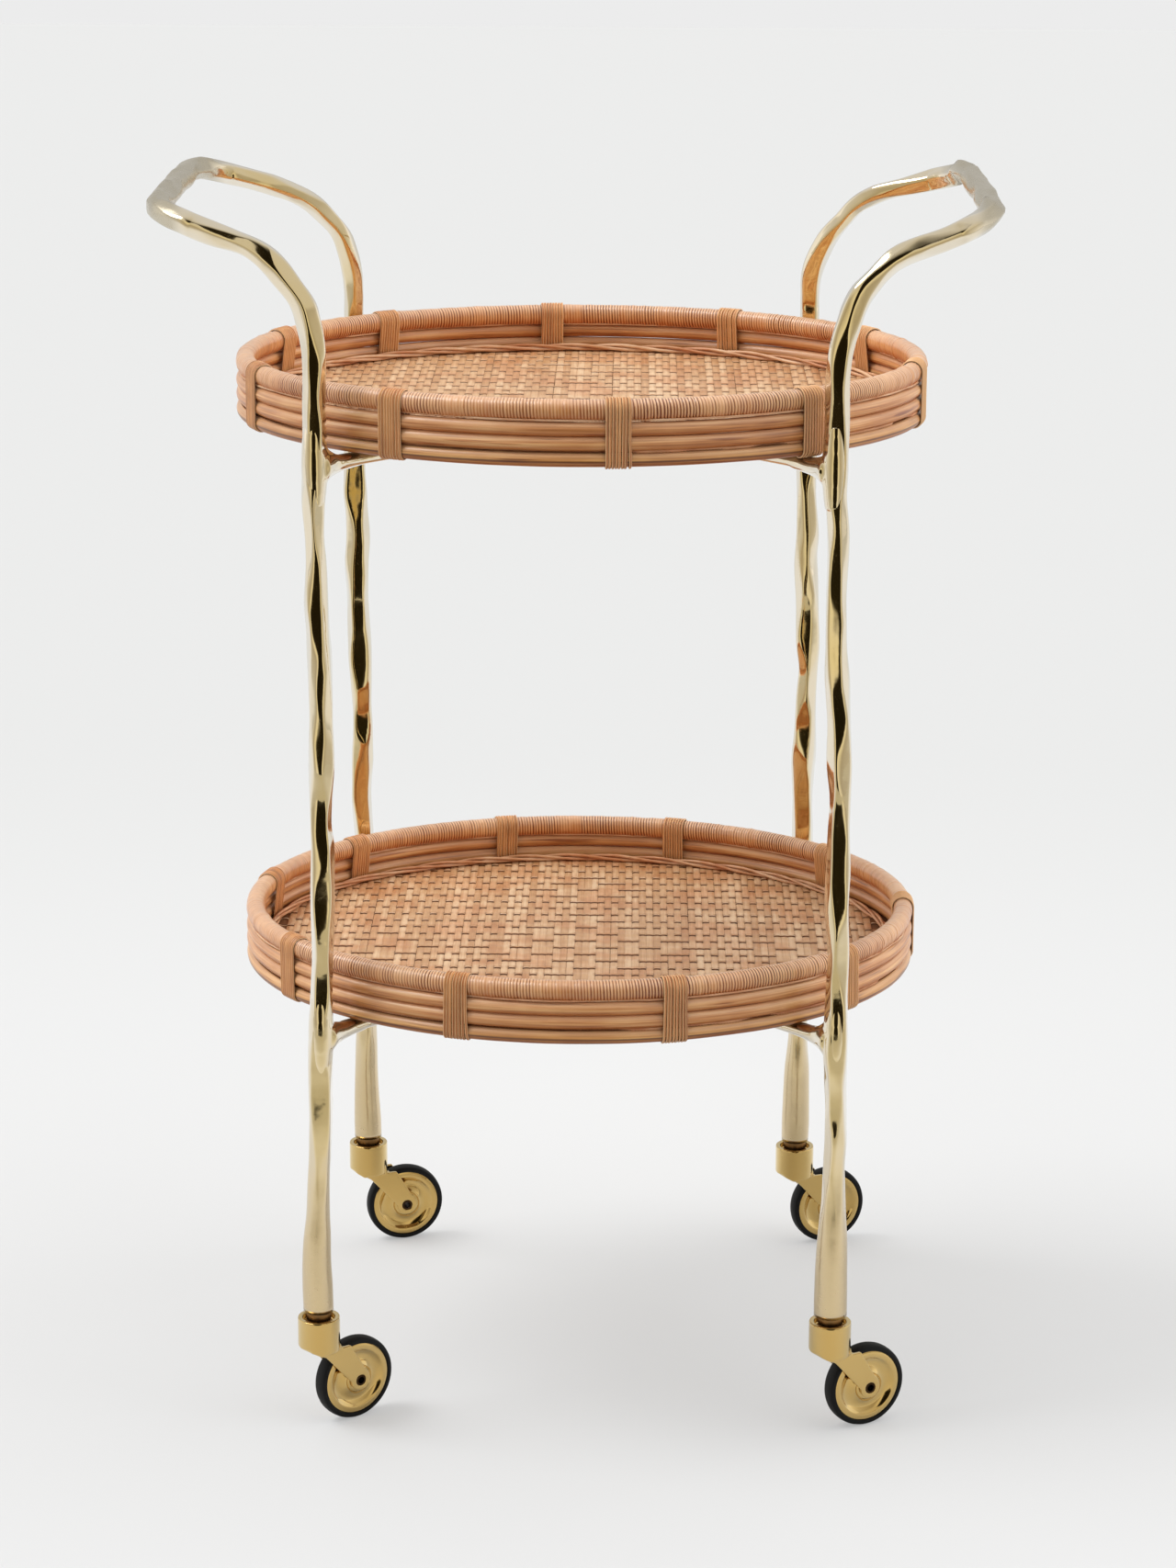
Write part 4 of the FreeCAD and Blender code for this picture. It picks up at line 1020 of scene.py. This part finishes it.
def fit_widths(grid, centre, run, side):
    """Fits a rod to its widths and its wander, taken across the view from the front."""
    front, back = ([
        (rod_place(depth, height, run), width, wander) for height, width, wander in ROD_STATIONS[depth + "_" + side]]
        for depth in ("front", "back"))
    bar = [(run[-1] / 2 + offset * MM, width, 0) for offset, width in BAR_STATIONS]
    places, *measures = np.array(front + bar + back[::-1]).T
    width, wander = (
        sum(np.interp(run + shift * MM, places, measure) for shift in EVENING) / len(EVENING) * MM
        for measure in measures)
    across = np.cross(np.gradient(centre, axis=0), centre - np.array(CAMERA_PLACE))
    across /= np.linalg.norm(across, axis=1, keepdims=True)
    across *= np.where(across[:, :1] < 0, -1, 1)
    reach = np.einsum("rsk,rk->rs", grid - centre[:, None], across)
    seen = reach.max(1) - reach.min(1)
    grid[:] = centre[:, None] + (grid - centre[:, None]) * (width / seen)[:, None, None]
    grid += (across * wander[:, None])[:, None]


def copy_of(node, name):
    """A copy of a CAD node's mesh, merged, to be worked on."""
    piece = twin(frame["nodes"][node], name)
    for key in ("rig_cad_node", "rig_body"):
        if key in piece:
            del piece[key]
    piece.parent = None
    weld(piece)
    return piece


ARM_DROP = 45.6 * MM
# The swelling round a leg: heights and radii. The web's distances along the arm from the leg, and its radii.
COLLAR_RINGS = ((-30, 6.6), (-20, 8.1), (-9, 9.1), (0, 9.4), (9, 9.1), (20, 8.1), (30, 6.6))
WEB_RINGS = ((0, 12.0), (4, 10.4), (9, 8.4), (15, 6.8), (24, 5.4), (36, 4.4))
WEB_DROP = 1.5 * MM


def cast_brace(level):
    """The crossed arms, cast in one with soft corners, that flow into a swelling round each leg."""
    piece = copy_of(level + "_cross_brace", level + "_cast_brace")
    middle = RIM_HEIGHTS[level] - ARM_DROP
    swellings = []
    for corner in CORNERS:
        collar, web = (
            turn_rings(corner + "_" + part, [(radius * MM, rise * MM) for rise, radius in rings], 32)
            for part, rings in (("collar", COLLAR_RINGS), ("web", WEB_RINGS)))
        heights, _, wanders = zip(*ROD_STATIONS[corner])
        collar.location = leg_middle(corner, middle)
        collar.location.x += np.interp(middle / MM, heights, wanders) * MM
        # The web is a cone that lies along the arm, its wide end at the leg.
        inward = Vector((-collar.location.x, -collar.location.y, 0)).normalized()
        web.rotation_euler = inward.to_track_quat("Z", "Y").to_euler()
        web.location = collar.location + inward * 4 * MM - Vector((0, 0, WEB_DROP))
        swellings += [collar, web]
    only(piece)
    for swelling in swellings:
        swelling.select_set(True)
    bpy.ops.object.join()
    soften(piece, 1.25 * MM, 14)
    settle(piece, FRAME_BRASS, "frame_brass", level + "_cross_brace", smooth=180)


def soften(piece, voxel, times):
    """Makes a piece one skin with the soft corners of a casting."""
    modify(piece, "REMESH", mode="VOXEL", voxel_size=voxel, adaptivity=0)
    modify(piece, "SMOOTH", factor=0.5, iterations=times)


def turn_rings(name, rings, segments, hollow=False):
    """A turned piece about the Z axis: a circle drawn out through (radius, height) rings."""
    radius, height = rings[0]
    piece = add(
        "mesh", "circle", name, vertices=segments, radius=radius, fill_type="NOTHING" if hollow else "NGON")
    bpy.ops.object.mode_set(mode="EDIT")
    bpy.ops.mesh.select_all(action="SELECT")
    bpy.ops.transform.translate(value=(0, 0, height))
    for next_radius, next_height in rings[1:]:
        bpy.ops.mesh.extrude_region_move(TRANSFORM_OT_translate={"value": (0, 0, next_height - height)})
        share = next_radius / radius
        bpy.ops.transform.resize(value=(share, share, 1), center_override=(0, 0, 0))
        radius, height = next_radius, next_height
    bpy.ops.object.mode_set(mode="OBJECT")
    weld(piece)
    return piece


# Casters

def caster_place(corner):
    """The frame of a caster: its foot on the floor, its trail along +X."""
    foot = leg_middle(corner, FOOT_HEIGHT)
    turn = Matrix.Rotation(math.radians(TRAIL_ANGLES[corner]), 4, "Z")
    return Matrix.Translation((foot.x, foot.y, 0)) @ turn


def wheel_place(corner):
    """The frame of a wheel: its axle along Z."""
    return caster_place(corner) @ Matrix.Translation((CASTER_TRAIL, 0, WHEEL_RADIUS)) @ Matrix.Rotation(
        math.pi / 2, 4, "X")


# Radius and half width, from the bore out over the dished web to the rim, and over the tyre.
DISC_RINGS = (
    (6.0, 6.6), (9.0, 6.6), (9.8, 6.2), (10.2, 5.2), (11.0, 4.4), (12.0, 3.7), (13.2, 3.05), (14.6, 2.55), (16.3, 2.3),
    (18.0, 2.55), (19.4, 3.05), (20.6, 3.7), (21.6, 4.4), (22.4, 5.2), (22.9, 5.4), (26.2, 5.4), (27.0, 5.0))
TYRE_RINGS = (
    (27.0, 5.3), (27.4, 5.9), (28.2, 6.0), (29.6, 5.7), (30.7, 4.8), (31.3, 3.2), (31.5, 1.2))


def roll_wheels(part, rings, finish, slot):
    """One part of the four wheels: turned once and copied."""
    outline = [(radius * MM, height * MM) for radius, height in rings]
    outline += [(radius, -height) for radius, height in reversed(outline)]
    model = turn_rings("turned_" + part, outline + outline[:1], 96, hollow=True)
    for corner in CORNERS:
        piece = twin(model, corner + "_turned_" + part)
        piece.matrix_world = wheel_place(corner)
        settle(piece, finish, slot, corner + "_" + part, body=corner + "_wheel", smooth=30)
    bpy.data.objects.remove(model)


COLLAR_RADIUS = 15.5 * MM
COLLAR_FOOT = 62 * MM
HEEL_BEGIN = 2 * MM
HEEL_BAND = (56.5 * MM, 71 * MM)
HEEL_SLOPE = 0.3


def round_heel(points, place):
    """Draws the corners of a fork's heel in to the round of the collar, and the heel itself lower."""
    turn = np.array(place.to_3x3())
    local = (points - np.array(place.translation)) @ turn
    reach = np.hypot(local[:, 0], local[:, 1])
    behind = local[:, 0] < -HEEL_BEGIN
    upper = local[:, 2] > COLLAR_FOOT
    wide = (behind | upper) & (reach > COLLAR_RADIUS)
    local[:, :2] *= np.where(wide, COLLAR_RADIUS / np.maximum(reach, MM), 1)[:, None]
    low = behind & (local[:, 2] > HEEL_BAND[0]) & (local[:, 2] < HEEL_BAND[1])
    local[low, 2] += HEEL_SLOPE * (local[low, 0] + HEEL_BEGIN)
    return local @ turn.T + np.array(place.translation)


def cast_fork(corner):
    """A fork, with the soft corners of a casting."""
    piece = copy_of(corner + "_caster_fork", corner + "_cast_fork")
    move_points(piece, lambda points: round_heel(points, caster_place(corner)))
    soften(piece, 0.5 * MM, 9)
    settle(piece, CASTER_BRASS, "caster_brass", corner + "_caster_fork", body=corner + "_fork")


# The whole trolley

for level_name in RIM_HEIGHTS:
    wind_rim(level_name)
    for pole in SIDE_POLES:
        bend_pole(level_name, *pole)
    bind_tray(level_name)
    weave_mat(level_name)
    twist_trim(level_name)
    tuck_strands(level_name)
    cast_brace(level_name)
    carry(POLE, level_name + "_rim_pole")
    carry(BOARD, level_name + "_base_board")
    carry(STEEL, level_name + "_tray_screws")
cast_side("left", 3)
cast_side("right", 41)
roll_wheels("wheel_disc", DISC_RINGS, CASTER_BRASS, "caster_brass")
roll_wheels("wheel_tyre", TYRE_RINGS, RUBBER, "tyre_rubber")
for corner_name in CORNERS:
    cast_fork(corner_name)
    carry(STEEL, corner_name + "_caster_stem", corner_name + "_swivel_bearing")
    carry(AXLE, corner_name + "_wheel_axle")
    carry(PLASTIC, corner_name + "_wheel_bushing")


# Studio

# Tilt, turn, strength and spread of the lamps. Those with a broad spread aren't mirrored in the brass.
LAMPS = ((1, -32, 1.15, 26), (-4, -78, 0.55, 60), (-4, 72, 1.25, 70))
BROAD = 30
WHITE = (236, 236, 236)


def floor_paper(f):
    """Pale paper: part of its tone is its own, and it throws little back."""
    _, y, _ = f.parts(f.place())
    seen = f.ray("Camera")
    paper = f.mix(f.step(y, 0.3, 1.8), (213, 214, 215), (201, 202, 202))
    paper = f.mix(1 - f.step(y, -1.0, -0.45), paper, (177, 177, 174))
    paper = f.mix(seen + f.ray("Glossy"), (150, 148, 144), paper)
    matt = f.node("BsdfPrincipled", None, {"Base Color": paper, "Roughness": 0.9, "Specular IOR Level": 0.0})
    glow = f.node("Emission", None, {"Color": WHITE, "Strength": 1.0})
    return f.node("MixShader", None, {"Fac": seen * 0.42, 1: matt, 2: glow})


def lay_floor():
    """A floor that ends short of the camera's side."""
    floor = add("mesh", "plane", "studio_floor", size=1, location=(0, 5.4, 0))
    floor.scale = (24, 13.2, 1)
    bpy.ops.object.transform_apply()
    coat(floor, surface("studio_floor", floor_paper))


def light_studio():
    """An even pale world, dark behind the camera for polished metal, a soft lamp above left and broad ones beside."""
    world = bpy.data.worlds.new("studio")
    bpy.context.scene.world = world
    world.use_nodes = True
    f = Finish(world.node_tree)
    x, y, z = f.parts(f.node("TexCoord", output="Generated"))
    # 1 straight behind the camera and above it, 0 to the sides, -1 behind the trolley.
    behind = (1 - x * x) ** 0.5 * (1 - 2 * f.step(y, -0.05, 0.05))
    room = f.ramp(
        behind * 0.5 + 0.5, (0.0, (0.6, 0.59, 0.56, 1)), (0.1, (0.66, 0.65, 0.62, 1)), (0.25, (0.94, 0.94, 0.93, 1)),
        (0.5, (1.2, 1.19, 1.17, 1)), (0.68, (0.76, 0.75, 0.72, 1)), (0.9, (0.5, 0.48, 0.45, 1)),
        (0.95, (0.9, 0.89, 0.87, 1)), (0.972, (1.0, 0.99, 0.97, 1)), (0.982, (46, 40, 26)), (1.0, (32, 28, 18)))
    above = f.step(z - 0.42 * f.step(behind, 0.955, 0.964), 0.45, 0.6)
    room = f.mix(above, room, f.mix(f.ray("Glossy"), (1.25, 1.24, 1.22, 1), (226, 225, 222)))
    shown = f.mix(f.ray("Camera"), room, WHITE)
    background = f.node("Background", None, {"Color": shown, "Strength": 1.0})
    f.node("OutputWorld", None, {"Surface": background})
    for tilt, turn, energy, spread in LAMPS:
        bpy.ops.object.light_add(type="SUN", rotation=(math.radians(tilt), math.radians(turn), 0))
        lamp = bpy.context.object
        lamp.data.energy = energy
        lamp.data.angle = math.radians(spread)
        lamp.visible_glossy = spread < BROAD


def set_camera():
    """The photograph's viewpoint."""
    bpy.ops.object.camera_add()
    camera = bpy.context.object
    aim = Vector(CAMERA_AIM).to_track_quat("-Z", "Y").to_matrix().to_4x4()
    camera.matrix_world = Matrix.Translation(CAMERA_PLACE) @ aim @ Matrix.Rotation(math.radians(CAMERA_ROLL), 4, "Z")
    camera.data.lens = CAMERA_LENS
    camera.data.sensor_width = 36
    bpy.context.scene.camera = camera


lay_floor()
light_studio()
set_camera()
bpy.context.scene.view_settings.view_transform = "Standard"
